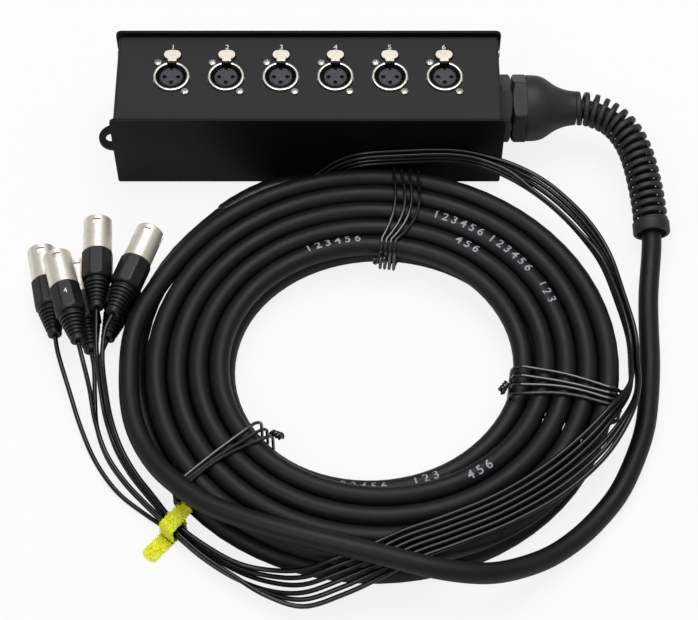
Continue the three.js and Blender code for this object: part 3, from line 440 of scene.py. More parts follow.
def prism_limit(sides: int, across: float, turn: float = 0.0) -> Callable[[float], float]:
    """Returns the radius of a prism's flats for an angle.

    Args:
        sides: Number of flats.
        across: Distance across the flats.
        turn: Angle of the middle of one flat, in radians.

    Returns:
        A function from angle to radius.
    """
    step = FULL_TURN / sides

    def limit(angle: float) -> float:
        """Radius of the prism at an angle."""
        off = (angle - turn + step / 2) % step - step / 2
        return across / 2 / math.cos(off)

    return limit


def rounded_outline(width: float, height: float, radius: float, steps: int = 6) -> list[tuple[float, float]]:
    """Returns the outline of a rectangle with round corners, about the origin.

    Args:
        width: Size along X.
        height: Size along Y.
        radius: Radius of the corners.
        steps: Steps in each corner.

    Returns:
        Points, anticlockwise.
    """
    outline = []
    for corner, (sx, sy) in enumerate(((1, 1), (-1, 1), (-1, -1), (1, -1))):
        for k in range(steps + 1):
            angle = math.pi / 2 * (corner + k / steps)
            outline.append((
                sx * (width / 2 - radius) + radius * math.cos(angle),
                sy * (height / 2 - radius) + radius * math.sin(angle),
            ))
    return outline


def prism(outline: Profile, low: float, high: float) -> Form:
    """Raises an outline from one height to another.

    Args:
        outline: Points in the XY plane.
        low: Lower Z.
        high: Upper Z.

    Returns:
        The closed form.
    """
    return bridge([[Vector((x, y, z)) for x, y in outline] for z in (low, high)])


def block(x0: float, x1: float, y0: float, y1: float, z0: float, z1: float) -> Form:
    """Returns a box between two corners."""
    return prism([(x0, y0), (x1, y0), (x1, y1), (x0, y1)], z0, z1)


def carve(base: Form, cutters: Iterable[Form], keep: Form | None = None) -> Form:
    """Cuts forms out of a form.

    Args:
        base: The form to cut.
        cutters: Closed forms to take away.
        keep: A form outside which everything goes, or None.

    Returns:
        What is left.
    """
    made = [("DIFFERENCE", form) for form in cutters]
    if keep:
        made.append(("INTERSECT", keep))
    body = linked("carve_base", base.mesh("carve_base"))
    tools = []
    for operation, form in made:
        tool = linked("carve_tool", form.mesh("carve_tool"))
        tools.append(tool)
        modifier = body.modifiers.new("carve", "BOOLEAN")
        modifier.operation = operation
        modifier.object = tool
        modifier.solver = "MANIFOLD"
    bpy.context.view_layer.update()
    shaped = body.evaluated_get(bpy.context.evaluated_depsgraph_get()).to_mesh()
    result = Form([v.co / MM for v in shaped.vertices], [tuple(p.vertices) for p in shaped.polygons])
    for item in (body, *tools):
        drop(item)
    return result


def spline_through(route: Route, step: float) -> list[Vector]:
    """Samples a centripetal spline through a route, as the CAD model's cables follow it.

    Args:
        route: Points in millimetres.
        step: Rough distance between samples.

    Returns:
        Points along the spline, both ends included.
    """
    points = [Vector(p) for p in route]
    padded = [2 * points[0] - points[1], *points, 2 * points[-1] - points[-2]]
    made = []
    for k in range(len(points) - 1):
        p0, p1, p2, p3 = padded[k : k + 4]
        d0, d1, d2 = (max((b - a).length, 1e-6) ** 0.5 for a, b in ((p0, p1), (p1, p2), (p2, p3)))
        t1 = ((p1 - p0) / d0 - (p2 - p0) / (d0 + d1) + (p2 - p1) / d1) * d1
        t2 = ((p2 - p1) / d1 - (p3 - p1) / (d1 + d2) + (p3 - p2) / d2) * d1
        count = max(1, round((p2 - p1).length / step))
        for i in range(count):
            s = i / count
            made.append(p1 + t1 * s + (-3 * p1 + 3 * p2 - 2 * t1 - t2) * s * s
                        + (2 * p1 - 2 * p2 + t1 + t2) * s ** 3)
    made.append(points[-1])
    return made


def smoothed(points: Sequence[Vector], passes: int) -> list[Vector]:
    """Relaxes a line of points, ends held, so that bends turn evenly.

    Args:
        points: The line.
        passes: How often each point moves toward its neighbours' middle.

    Returns:
        The relaxed line.
    """
    line = [p.copy() for p in points]
    for _ in range(passes):
        inner = [line[i] * 0.5 + (line[i - 1] + line[i + 1]) * 0.25 for i in range(1, len(line) - 1)]
        line = [line[0], *inner, line[-1]]
    return line


def headings(points: Sequence[Vector]) -> list[Vector]:
    """Returns the unit direction of a line at each of its points."""
    last = len(points) - 1
    return [(points[min(i + 1, last)] - points[max(i - 1, 0)]).normalized() for i in range(last + 1)]


def side_axes(points: Sequence[Vector], start: Vector = UP) -> list[tuple[Vector, Vector]]:
    """Carries two side directions along a line without twist.

    Args:
        points: The line.
        start: Direction that the first pair keeps nearest to.

    Returns:
        Two unit directions square to the line, for each point.
    """
    axes = []
    second = start
    for heading in headings(points):
        second = (second - heading * second.dot(heading)).normalized()
        axes.append((second.cross(heading), second))
    return axes


def tube(points: Sequence[Vector], radius: float | Sequence[float], sides: int = 12,
         start: Vector = UP) -> Form:
    """Returns a round tube along a line.

    Args:
        points: The centre line.
        radius: One radius, or one for each point.
        sides: Steps round the tube.
        start: Direction of the first side axis.

    Returns:
        The closed form.
    """
    radii = radius if isinstance(radius, (list, tuple)) else [radius] * len(points)
    rings = []
    for point, (a, b), reach in zip(points, side_axes(points, start), radii):
        rings.append([
            point + (a * math.cos(FULL_TURN * i / sides) + b * math.sin(FULL_TURN * i / sides)) * reach
            for i in range(sides)
        ])
    return bridge(rings)


def ribbon(points: Sequence[Vector], flats: Sequence[Vector], width: float, thickness: float) -> Form:
    """Returns a flat band along a line.

    Args:
        points: The centre line.
        flats: The direction across the band's thickness at each point.
        width: Size across the band.
        thickness: Size through the band.

    Returns:
        The closed form.
    """
    rings = []
    outline = rounded_outline(width, thickness, thickness * 0.4, 2)
    for point, heading, flat in zip(points, headings(points), flats):
        normal = (flat - heading * flat.dot(heading)).normalized()
        side = normal.cross(heading)
        rings.append([point + side * x + normal * y for x, y in outline])
    return bridge(rings)


# Pieces


def piece(name: str, shape: Form | Mesh, finish: Finish, stands_for: Sequence[str] = (),
          body: str = MAIN_BODY, round_edges: float = 0.0) -> Object:
    """Shows a form or a mesh as a piece of the object.

    Args:
        name: The piece's name.
        shape: Its form, or its mesh in metres, in place.
        finish: Its finish.
        stands_for: CAD nodes that it takes the place of.
        body: The body that it moves with.
        round_edges: Rounding of a form's sharp edges, or 0.

    Returns:
        The piece's object.
    """
    mesh = shape.mesh(name, round_edges=round_edges) if isinstance(shape, Form) else shape
    mesh.materials.clear()
    mesh.materials.append(finish.build())
    shown = linked(name, mesh)
    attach(shown, body)
    if stands_for:
        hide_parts(*stands_for)
    log.info("%s: %d faces", name, len(mesh.polygons))
    return shown


def cord_piece(name: str, line: Sequence[Vector], radius: float, resolution: int, finish: Finish,
               stands_for: Sequence[str]) -> Object:
    """Shows a cord as a round curve.

    Args:
        name: The cord's name.
        line: Its centre line, in millimetres.
        radius: Its radius.
        resolution: How finely the curve is rounded.
        finish: Its finish.
        stands_for: CAD nodes that it takes the place of.

    Returns:
        The cord's object.
    """
    log.info("%s: %.0f mm", name, sum((b - a).length for a, b in zip(line, line[1:])))
    curve = bpy.data.curves.new(name, "CURVE")
    curve.dimensions = "3D"
    curve.bevel_depth = radius * MM
    curve.bevel_resolution = resolution
    curve.use_fill_caps = True
    curve.materials.append(finish.build())
    spline = curve.splines.new("POLY")
    spline.points.add(len(line) - 1)
    spline.use_smooth = True
    for point, place in zip(spline.points, line):
        point.co = (*(place * MM), 1.0)
    cord = linked(name, curve)
    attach(cord, MAIN_BODY)
    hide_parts(*stands_for)
    return cord


def lettering(text: str, height: float, place: Matrix, lift: float = 0.06, weight: float = 0.0) -> Form:
    """Returns plain numbers as a thin raised print.

    Args:
        text: The number.
        height: Height of the digits in millimetres.
        place: Matrix from the print's plane to the part, in millimetres.
        lift: Thickness of the ink.
        weight: How far the strokes are widened.

    Returns:
        The closed form.
    """
    curve = bpy.data.curves.new("print", "FONT")
    curve.offset = weight
    curve.body = text
    curve.size = height / DIGIT_SHARE
    curve.align_x = "CENTER"
    curve.align_y = "CENTER"
    curve.extrude = lift / 2
    curve.resolution_u = 4
    holder = linked("print", curve)
    bpy.context.view_layer.update()
    flat = holder.evaluated_get(bpy.context.evaluated_depsgraph_get()).to_mesh()
    form = Form([v.co.copy() for v in flat.vertices], [tuple(p.vertices) for p in flat.polygons])
    bpy.data.objects.remove(holder)
    bpy.data.curves.remove(curve)
    return form.moved(place)


def instances_tree(name: str, inputs: Sequence[tuple[str, str, object]],
                   build: Callable[[Tree, dict], Socket],
                   material: Material) -> Tree:
    """Starts a geometry tree with named inputs, and ends it in realized faces with a material.

    Args:
        name: The tree's name.
        inputs: Name, socket type and default value of each input.
        build: Adds the nodes, from the tree and its input sockets, and returns the geometry.
        material: What the faces get.

    Returns:
        The tree.
    """
    tree = bpy.data.node_groups.new(name, "GeometryNodeTree")
    tree.interface.new_socket("Geometry", in_out="INPUT", socket_type="NodeSocketGeometry")
    for label, kind, default in inputs:
        socket = tree.interface.new_socket(label, in_out="INPUT", socket_type=kind)
        if default is not None:
            socket.default_value = default
    tree.interface.new_socket("Geometry", in_out="OUTPUT", socket_type="NodeSocketGeometry")
    entry = add_node(tree, "NodeGroupInput")
    made = build(tree, {s.name: s for s in entry.outputs if s.name})
    real = add_node(tree, "GeometryNodeRealizeInstances", {0: made}).outputs[0]
    dressed = add_node(tree, "GeometryNodeSetMaterial", {"Geometry": real, "Material": material}).outputs[0]
    add_node(tree, "NodeGroupOutput", {0: dressed})
    return tree


def grown(tree: Tree, base: Mesh, values: dict[str, object], name: str) -> Mesh:
    """Runs a geometry tree on a mesh and keeps the result as a plain mesh.

    Args:
        tree: The tree.
        base: The mesh that it starts from.
        values: Value for each named input.
        name: Name of the result.

    Returns:
        The made mesh.
    """
    holder = linked(name, base)
    modifier = holder.modifiers.new("grow", "NODES")
    modifier.node_group = tree
    for item in tree.interface.items_tree:
        if item.in_out == "INPUT" and item.name in values:
            modifier[item.identifier] = values[item.name]
    bpy.context.view_layer.update()
    depsgraph = bpy.context.evaluated_depsgraph_get()
    made = bpy.data.meshes.new_from_object(holder.evaluated_get(depsgraph), depsgraph=depsgraph)
    holder.modifiers.clear()
    bpy.data.objects.remove(holder)
    made.name = name
    made.set_sharp_from_angle(angle=math.radians(SOFT_ANGLE))
    return made


def row_tree(material: Material) -> Tree:
    """Geometry tree that sets a shape in an even row along Z, from one width to another.

    Args:
        material: What the faces get.

    Returns:
        The tree, with the inputs Shape, Count, Pitch, First size and Last size.
    """

    def build(tree: Tree, given: dict) -> Socket:
        """Adds the row's nodes."""
        pitch = add_node(tree, "ShaderNodeCombineXYZ", {"Z": given["Pitch"]}).outputs[0]
        line = add_node(tree, "GeometryNodeMeshLine", {"Count": given["Count"], "Offset": pitch}).outputs[0]
        index = add_node(tree, "GeometryNodeInputIndex").outputs[0]
        last = add_node(tree, "ShaderNodeMath", {0: given["Count"], 1: 1.0}, operation="SUBTRACT").outputs[0]
        size = add_node(tree, "ShaderNodeMapRange", {
            "Value": index, "From Max": last, "To Min": given["First size"], "To Max": given["Last size"],
        }).outputs[0]
        scale = add_node(tree, "ShaderNodeCombineXYZ", {"X": size, "Y": size, "Z": 1.0}).outputs[0]
        shape = add_node(tree, "GeometryNodeObjectInfo", {"Object": given["Shape"]}).outputs["Geometry"]
        return add_node(tree, "GeometryNodeInstanceOnPoints", {
            "Points": line, "Instance": shape, "Scale": scale,
        }).outputs[0]

    inputs = (
        ("Shape", "NodeSocketObject", None), ("Count", "NodeSocketInt", 6),
        ("Pitch", "NodeSocketFloat", 0.003), ("First size", "NodeSocketFloat", 1.0),
        ("Last size", "NodeSocketFloat", 1.0),
    )
    return instances_tree("row_along_axis", inputs, build, material)


def scatter_tree(material: Material) -> Tree:
    """Geometry tree that sets a shape on each point, along the point's axis, each turned its own way.

    Args:
        material: What the faces get.

    Returns:
        The tree, with the inputs Shape and Seed.
    """

    def build(tree: Tree, given: dict) -> Socket:
        """Adds the nodes that turn and set the shapes."""
        axis = add_node(tree, "GeometryNodeInputNamedAttribute", {"Name": "axis"}, data_type="FLOAT_VECTOR")
        aligned = add_node(tree, "FunctionNodeAlignRotationToVector", {"Vector": axis.outputs[0]}, axis="Z")
        turn = add_node(tree, "FunctionNodeRandomValue", {"Seed": given["Seed"], 3: FULL_TURN / 4},
                        data_type="FLOAT").outputs[1]
        spin = add_node(tree, "FunctionNodeAxisAngleToRotation",
                        {"Axis": (0, 0, 1), "Angle": turn}).outputs[0]
        both = add_node(tree, "FunctionNodeRotateRotation", {
            "Rotation": aligned.outputs[0], "Rotate By": spin,
        }, rotation_space="LOCAL").outputs[0]
        shape = add_node(tree, "GeometryNodeObjectInfo", {"Object": given["Shape"]}).outputs["Geometry"]
        return add_node(tree, "GeometryNodeInstanceOnPoints", {
            "Points": given["Geometry"], "Instance": shape, "Rotation": both,
        }).outputs[0]

    inputs = (("Shape", "NodeSocketObject", None), ("Seed", "NodeSocketInt", 3))
    return instances_tree("shapes_on_points", inputs, build, material)


def spiral_tree(material: Material) -> Tree:
    """Geometry tree that winds a flat band round a line.

    Args:
        material: What the faces get.

    Returns:
        The tree, with the inputs Curls, Steps, Radius, Band width, Band depth and Rounding.
    """

    def build(tree: Tree, given: dict) -> Socket:
        """Adds the winding's nodes."""

        def vector(operation: str, first: object, second: object | None = None) -> Socket:
            """Adds one vector sum."""
            values = {0: first} if second is None else {0: first, 1: second}
            node = add_node(tree, "ShaderNodeVectorMath", values, operation=operation)
            return node.outputs["Value" if operation == "DOT_PRODUCT" else "Vector"]

        def scaled(direction: Socket, by: Socket) -> Socket:
            """Adds one vector scaling."""
            return add_node(tree, "ShaderNodeVectorMath", {0: direction, "Scale": by},
                            operation="SCALE").outputs[0]

        line = add_node(tree, "GeometryNodeMeshToCurve", {0: given["Geometry"]}).outputs[0]
        count = add_node(tree, "ShaderNodeMath", {0: given["Curls"], 1: given["Steps"], 2: 1.0},
                         operation="MULTIPLY_ADD").outputs[0]
        even = add_node(tree, "GeometryNodeResampleCurve", {"Curve": line, "Count": count}).outputs[0]
        tangent = add_node(tree, "GeometryNodeInputTangent").outputs[0]
        up = add_node(tree, "ShaderNodeCombineXYZ", {"Z": 1.0}).outputs[0]
        along_up = scaled(tangent, vector("DOT_PRODUCT", tangent, up))
        second = vector("NORMALIZE", vector("SUBTRACT", up, along_up))
        first = vector("CROSS_PRODUCT", second, tangent)
        index = add_node(tree, "GeometryNodeInputIndex").outputs[0]
        share = add_node(tree, "ShaderNodeMath", {0: index, 1: given["Steps"]},
                         operation="DIVIDE").outputs[0]
        angle = add_node(tree, "ShaderNodeMath", {0: share, 1: FULL_TURN}, operation="MULTIPLY").outputs[0]
        cosine = add_node(tree, "ShaderNodeMath", {0: angle}, operation="COSINE").outputs[0]
        sine = add_node(tree, "ShaderNodeMath", {0: angle}, operation="SINE").outputs[0]
        outward = vector("ADD", scaled(first, cosine), scaled(second, sine))
        kept = add_node(tree, "GeometryNodeStoreNamedAttribute", {
            "Geometry": even, "Name": "outward", "Value": outward,
        }, data_type="FLOAT_VECTOR", domain="POINT").outputs[0]
        direction = add_node(tree, "GeometryNodeInputNamedAttribute", {"Name": "outward"},
                             data_type="FLOAT_VECTOR").outputs[0]
        wound = add_node(tree, "GeometryNodeSetPosition", {
            "Geometry": kept, "Offset": scaled(direction, given["Radius"]),
        }).outputs[0]
        faced = add_node(tree, "GeometryNodeSetCurveNormal", {"Curve": wound, "Normal": direction},
                         mode="FREE")
        section = add_node(tree, "GeometryNodeCurvePrimitiveQuadrilateral", {
            "Width": given["Band depth"], "Height": given["Band width"],
        }).outputs[0]
        softened = add_node(tree, "GeometryNodeFilletCurve", {
            "Curve": section, "Radius": given["Rounding"], "Count": 3,
        }, mode="POLY").outputs[0]
        band = add_node(tree, "GeometryNodeCurveToMesh", {
            "Curve": faced.outputs[0], "Profile Curve": softened, "Fill Caps": True,
        }).outputs[0]
        return band

    inputs = (
        ("Curls", "NodeSocketFloat", 19.0), ("Steps", "NodeSocketFloat", 24.0),
        ("Radius", "NodeSocketFloat", 0.01), ("Band width", "NodeSocketFloat", 0.004),
        ("Band depth", "NodeSocketFloat", 0.003), ("Rounding", "NodeSocketFloat", 0.0008),
    )
    return instances_tree("spiral_band", inputs, build, material)


def held_shape(form: Form, name: str) -> Object:
    """Returns a hidden object of a form, for a geometry tree to repeat."""
    return bpy.data.objects.new(name, form.mesh(name))


def set_on_points(name: str, form: Form, places: Sequence[Vector], axes: Sequence[Vector], finish: Finish,
                  seed: int) -> Mesh:
    """Repeats a form on points, each copy along its point's axis.

    Args:
        name: Name of the made mesh.
        form: What is repeated.
        places: Where the copies go, in millimetres.
        axes: Unit direction of each copy.
        finish: The finish of the copies.
        seed: Seed of their turns.

    Returns:
        One mesh with all the copies.
    """
    base = bpy.data.meshes.new(f"{name}_places")
    base.from_pydata([place * MM for place in places], [], [])
    attribute = base.attributes.new("axis", "FLOAT_VECTOR", "POINT")
    for item, axis in zip(attribute.data, axes):
        item.vector = axis
    shape = held_shape(form, f"{name}_shape")
    made = grown(scatter_tree(finish.build()), base, {"Shape": shape, "Seed": seed}, name)
    drop(shape)
    return made


@dataclass(frozen=True)
class CrossScrew:
    """Pan head screw with a cross recess. Its shares are of the head's radius and height."""

    radius: float
    height: float
    shank: float
    length: float
    seat_share: float = 0.97
    rim_share: float = 0.42
    arm_share: float = 0.7
    slot_share: float = 0.17
    floor_share: float = 0.2

    def form(self) -> Form:
        """Returns the screw, its seat at height 0 and its axis along Z."""
        radius, height, shank = self.radius, self.height, self.shank
        crown = [(radius * math.cos(a), height * (self.rim_share + (1 - self.rim_share) * math.sin(a)))
                 for a in (math.radians(10 * k) for k in range(0, 9))]
        head = turned([(0, -self.length), (shank, -self.length), (shank, 0), (radius * self.seat_share, 0),
                       *crown, (0, height)], 28)
        arm, half, floor = radius * self.arm_share, radius * self.slot_share, height * self.floor_share
        return carve(head, [block(-x, x, -y, y, floor, height * 2) for x, y in ((arm, half), (half, arm))])


SIDE_SCREW = CrossScrew(3.0, 1.6, 1.5, 7.0)
PANEL_SCREW = CrossScrew(2.6, 1.5, 1.3, 3.4)


def three_places(circle: float) -> list[tuple[float, float]]:
    """Returns the places of the three poles on their circle, two level and one below."""
    return [(circle * math.cos(a), -circle * math.sin(a)) for a in (0, math.pi / 2, math.pi)]


# Box


@dataclass
class SteelBox:
    """Chassis, cover, side screws and printed numbers."""

    width: float = 260.0
    depth: float = 76.0
    height: float = 70.0
    wall_x: float = 128.0
    chassis_sheet: float = 2.0
    cover_sheet: float = 1.5
    corner: float = 4.0
    bend: float = 2.6
    panel_top: float = 66.0
    cover_bend: float = 2.0
    number_height: float = 3.9
    number_y: float = 26.8
    side_screw_y: float = 31.0
    side_screw_z: float = 54.0
    gland_z: float = 34.0
    gland_hole: float = 12.9

    def chassis(self) -> Form:
        """Returns the bent front, bottom and rear with the slotted ear."""
        half, sheet, bend = self.depth / 2, self.chassis_sheet, self.bend
        arc = [math.radians(a) for a in range(0, 91, 15)]
        outer = [(-half + bend - bend * math.cos(a), bend - bend * math.sin(a)) for a in arc]
        tight = bend - sheet
        inner = [(-half + sheet + tight - tight * math.cos(a), sheet + tight - tight * math.sin(a))
                 for a in arc]
        left = [(-half, self.height), *outer]
        right = [(-y, z) for y, z in reversed(left)]
        left_in = [(-half + sheet, self.height), *inner]
        right_in = [(-y, z) for y, z in left_in]
        outline = [*left, *right, *right_in, *reversed(left_in)]
        half_width = self.width / 2
        trough = bridge([[Vector((x, y, z)) for y, z in outline] for x in (-half_width - 1, half_width + 1)])
        face = rounded_outline(self.width, self.height, self.corner, 8)
        keep = bridge([[Vector((x, y, z + self.height / 2)) for x, z in face]
                       for y in (-half - 1, half + 1)])
        inside = half - sheet
        sides = [
            block(self.wall_x, half_width + 2, -inside, inside, -1, self.corner * 2),
            block(-half_width - 2, -self.wall_x, -inside, inside, -1, self.corner * 2),
        ]
        form = carve(trough, sides, keep)
        return form.add(self.ear())

    def ear(self) -> Form:
        """Returns the slotted mounting ear on the left."""
        half, tip = 10.5, -135.5
        arc = [math.radians(a) for a in range(90, 271, 9)]
        outline = [(-self.wall_x, half), *((tip + half * math.cos(a), half * math.sin(a)) for a in arc),
                   (-self.wall_x, -half)]
        slot_half, slot_from, slot_to = 3.8, -137.5, -136.7
        slot = [(slot_from + slot_half * math.cos(a), slot_half * math.sin(a)) for a in arc]
        slot += [(slot_to - slot_half * math.cos(a), -slot_half * math.sin(a)) for a in arc]
        return carve(prism(outline, 0, self.chassis_sheet), [prism(slot, -1, self.chassis_sheet + 1)])

    def cover(self, sockets: Sequence["PanelSocket"]) -> Form:
        """Returns the bent top panel with its two end walls and all its holes.

        Args:
            sockets: The sockets that the panel opens for.

        Returns:
            The closed form.
        """
        outer, inner = self.cover_bend, self.cover_bend - self.cover_sheet
        wall, wall_in = self.wall_x, self.wall_x - self.cover_sheet
        under = self.panel_top - self.cover_sheet
        foot = self.chassis_sheet + SEAT_GAP
        arc = [math.radians(a) for a in range(0, 91, 15)]
        top = self.panel_top
        right = [(wall, foot)]
        right += [(wall - outer + outer * math.cos(a), top - outer + outer * math.sin(a)) for a in arc]
        left = [(-x, z) for x, z in reversed(right)]
        right_in = [(wall_in, foot)]
        right_in += [(wall_in - inner + inner * math.cos(a), under - inner + inner * math.sin(a))
                     for a in arc]
        left_in = [(-x, z) for x, z in right_in]
        outline = [*right, *left, *left_in, *reversed(right_in)]
        reach = self.depth / 2 - self.chassis_sheet - SEAT_GAP
        sheet = bridge([[Vector((x, y, z)) for x, z in outline] for y in (-reach, reach)])
        cutters = []
        for unit in sockets:
            cutters.extend(unit.panel_cutters(under - 1, self.panel_top + 1))
        low, high = wall_in - 1, wall + 1
        hole = turned([(0, low), (self.gland_hole, low), (self.gland_hole, high), (0, high)])
        level = Matrix.Rotation(math.pi / 2, 4, "Y")
        cutters.append(hole.moved(Matrix.Translation((0, 0, self.gland_z)) @ level))
        return carve(sheet, cutters)

    def side_screws(self) -> Mesh:
        """Returns the four screws of the end walls."""
        places = [Vector((side * (self.wall_x + SEAT_GAP), y, self.side_screw_z))
                  for side in (-1, 1) for y in (-self.side_screw_y, self.side_screw_y)]
        axes = [Vector((math.copysign(1, place.x), 0, 0)) for place in places]
        return set_on_points("side_screws", SIDE_SCREW.form(), places, axes, SCREW_STEEL, 5)

    def build(self, sockets: Sequence["PanelSocket"]) -> None:
        """Shows the box.

        Args:
            sockets: The sockets that the panel opens for.
        """
        piece("box_chassis", self.chassis(), CHASSIS_COAT, ["chassis"], round_edges=0.3)
        piece("box_cover", self.cover(sockets), PANEL_COAT, ["cover"], round_edges=0.2)
        piece("box_side_screws", self.side_screws(), SCREW_STEEL,
              [f"side_screw_{end}_{edge}" for end in ("left", "right") for edge in ("front", "rear")])
        print_form = Form()
        for unit in sockets:
            print_form.add(lettering(str(unit.number), self.number_height,
                                     Matrix.Translation((unit.x, self.number_y, self.panel_top))))
        piece("panel_numbers", print_form, WHITE_INK)


@dataclass
class PanelSocket:
    """One three-pole panel socket: nickel shell, insert, contacts and press latch."""

    number: int
    pitch: float = 36.4
    y: float = 1.0
    panel_top: float = 66.0
    ring: float = 12.0
    bore: float = 10.35
    proud: float = 2.0
    barrel: float = 19.0
    flange_top: float = 64.2
    flange_base: float = 62.2
    screw_x: float = 9.5
    screw_y: float = 12.2
    screw_hole: float = 2.0
    slot_half: float = 3.3
    pivot_y: float = 12.7
    pivot_z: float = 52.2
    contact_circle: float = 4.5
    contact_radius: float = 1.5
    pad_width: float = 11.4
    pad_length: float = 7.4
    pad_from: float = 14.6
    pad_base: float = 66.4
    pad_top: float = 68.1
    pad_lobe: float = 3.35
    room_front: float = 0.4
    room_rear: float = 1.9
    room_corner: float = 3.4
    neck_half: float = 2.9
    stem_from: float = 11.9
    stem_to: float = 13.5
    nose_from: float = 9.6
    nose_base: float = 58.2
    nose_top: float = 61.6
    pin_radius: float = 1.1
    pin_half: float = 5.3
    flange_size: tuple[float, float, float] = (26.0, 31.0, 3.0)
    slot_base: float = 47.2
    lug: float = 1.6
    lug_to: float = 15.2
    lug_half: float = 2.5
    insert_sink: float = 0.9
    insert_radius: float = 7.65
    insert_foot: float = 11.6
    insert_base: float = 45.7
    insert_step: float = 48.7
    contact_depth: float = 9.0
    contact_sink: float = 3.4
    contact_length: float = 6.0
    sleeve_radius: float = 1.35
    sleeve_bore: float = 0.95
    key_half: float = 1.1

    @property
    def x(self) -> float:
        """Place of the socket's axis along the box."""
        return (self.number - 3.5) * self.pitch

    @property
    def place(self) -> Matrix:
        """Matrix from the socket's own frame to the part's."""
        return Matrix.Translation((self.x, self.y, 0))

    def column(self, radius: float, low: float, high: float, x: float = 0, y: float = 0,
               segments: int = 40) -> Form:
        """Returns an upright cylinder in the socket's own frame."""
        form = turned([(0, low), (radius, low), (radius, high), (0, high)], segments)
        return form.moved(Matrix.Translation((x, y, 0)))

    def panel_cutters(self, low: float, high: float) -> list[Form]:
        """Returns what the panel loses for this socket.

        Args:
            low: Height below the sheet.
            high: Height above the sheet.

        Returns:
            Closed forms, in the part's frame.
        """
        front, rear = self.room_front, self.room_rear
        pad_y = (self.pad_from - front + self.pad_from + self.pad_length + rear) / 2
        pad_size = self.pad_length + (front + rear)
        pad = prism(rounded_outline(self.pad_width + 2 * front, pad_size, self.room_corner), low, high)
        cutters = [
            self.column(self.ring + SEAT_GAP, low, high, segments=64),
            block(-self.slot_half, self.slot_half, 0, self.pad_from + 1, low, high),
            pad.moved(Matrix.Translation((0, pad_y, 0))),
            self.column(self.screw_hole, low, high, self.screw_x, -self.screw_y, 20),
            self.column(self.screw_hole, low, high, -self.screw_x, self.screw_y, 20),
        ]
        return [form.moved(self.place) for form in cutters]

    def shell(self) -> Form:
        """Returns the ring, its barrel, the flange and the latch lugs."""
        top = self.panel_top + self.proud
        base = top - self.barrel
        ring = turned([
            (self.bore, base), (self.ring, base), (self.ring, top - 0.35), (self.ring - 0.1, top - 0.1),
            (self.ring - 0.32, top), (self.bore + 0.3, top), (self.bore + 0.1, top - 0.1),
            (self.bore, top - 0.4),
        ], 96)
        slot = block(-self.slot_half, self.slot_half, self.bore - 1.5, self.flange_size[1], self.slot_base,
                     top + 1)
        flange = prism(rounded_outline(*self.flange_size), self.flange_base, self.flange_top)
        hole = self.column(self.bore + 2 * SEAT_GAP, self.flange_base - 1, top + 1, segments=64)
        form = carve(ring, [slot])
        form.add(carve(flange, [hole, slot]))
        for side in (-1, 1):
            inside, outside = sorted((side * self.slot_half, side * (self.slot_half + self.lug)))
            form.add(block(inside, outside, self.ring - 1.4, self.lug_to, self.pivot_z - self.lug_half,
                           self.pivot_z + self.lug_half))
        return form

    def insert(self) -> Form:
        """Returns the moulded insert with its three contact holes and a shallow rim."""
        top = self.panel_top + self.proud - self.insert_sink
        reach, foot, rim = self.insert_radius, self.insert_foot, 0.25
        body = turned([
            (0, self.insert_base), (foot, self.insert_base), (foot, self.insert_step),
            (reach, self.insert_step), (reach, top - 2 * rim), (reach - 0.45, top), (reach - 0.95, top),
            (reach - 1.2, top - rim), (0, top - rim),
        ], 64)
        holes = [self.column(self.contact_radius, top - self.contact_depth, top + 1, x, y, 24)
                 for x, y in three_places(self.contact_circle)]
        key = block(-self.key_half, self.key_half, reach - 1.95, reach + 0.55, top - 6, top + 1)
        return carve(body, [*holes, key])

    def contacts(self) -> Form:
        """Returns the three sprung contacts inside the insert."""
        top = self.panel_top + self.proud - self.contact_sink
        base, bore, reach = top - self.contact_length, self.sleeve_bore, self.sleeve_radius
        sleeve = turned([(bore, base), (reach, base), (reach, top - 0.2), (reach - 0.15, top), (bore, top)],
                        20)
        form = Form()
        for x, y in three_places(self.contact_circle):
            form.add(sleeve, Matrix.Translation((x, y, 0)))
        return form

    def tab(self) -> Form:
        """Returns the press tab with its neck."""
        pad_y = self.pad_from + self.pad_length / 2
        half, lobe = self.pad_width / 2, self.pad_lobe
        outline = []
        for k in range(25):
            a = math.radians(-100 + 200 * k / 24)
            outline.append((half - lobe + lobe * math.cos(a), lobe * 1.05 * math.sin(a)))
        top = [(x, self.pad_length / 2 + 0.1 - 0.3 * (x / half) ** 2) for x in (1.5, 0.0, -1.5)]
        mirrored = [(-x, y) for x, y in reversed(outline)]
        pad = prism([*outline, *top, *mirrored], self.pad_base, self.pad_top)
        form = pad.moved(Matrix.Translation((0, pad_y, 0)))
        form.add(block(-self.neck_half, self.neck_half, self.stem_from + 0.7, self.pad_from + 1,
                       self.pad_base, self.pad_top - 0.1))
        return form

    def latch(self) -> Form:
        """Returns the latch's dark stem with its nose and pin, below the tab."""
        half = self.neck_half
        form = block(-half, half, self.stem_from, self.stem_to, self.pivot_z - self.pin_radius,
                     self.pad_base)
        form.add(block(-half, half, self.nose_from, self.stem_to, self.nose_base, self.nose_top))
        pin = self.column(self.pin_radius, -self.pin_half, self.pin_half, segments=20)
        level = Matrix.Rotation(math.pi / 2, 4, "Y")
        form.add(pin, Matrix.Translation((0, self.pivot_y, self.pivot_z)) @ level)
        return form

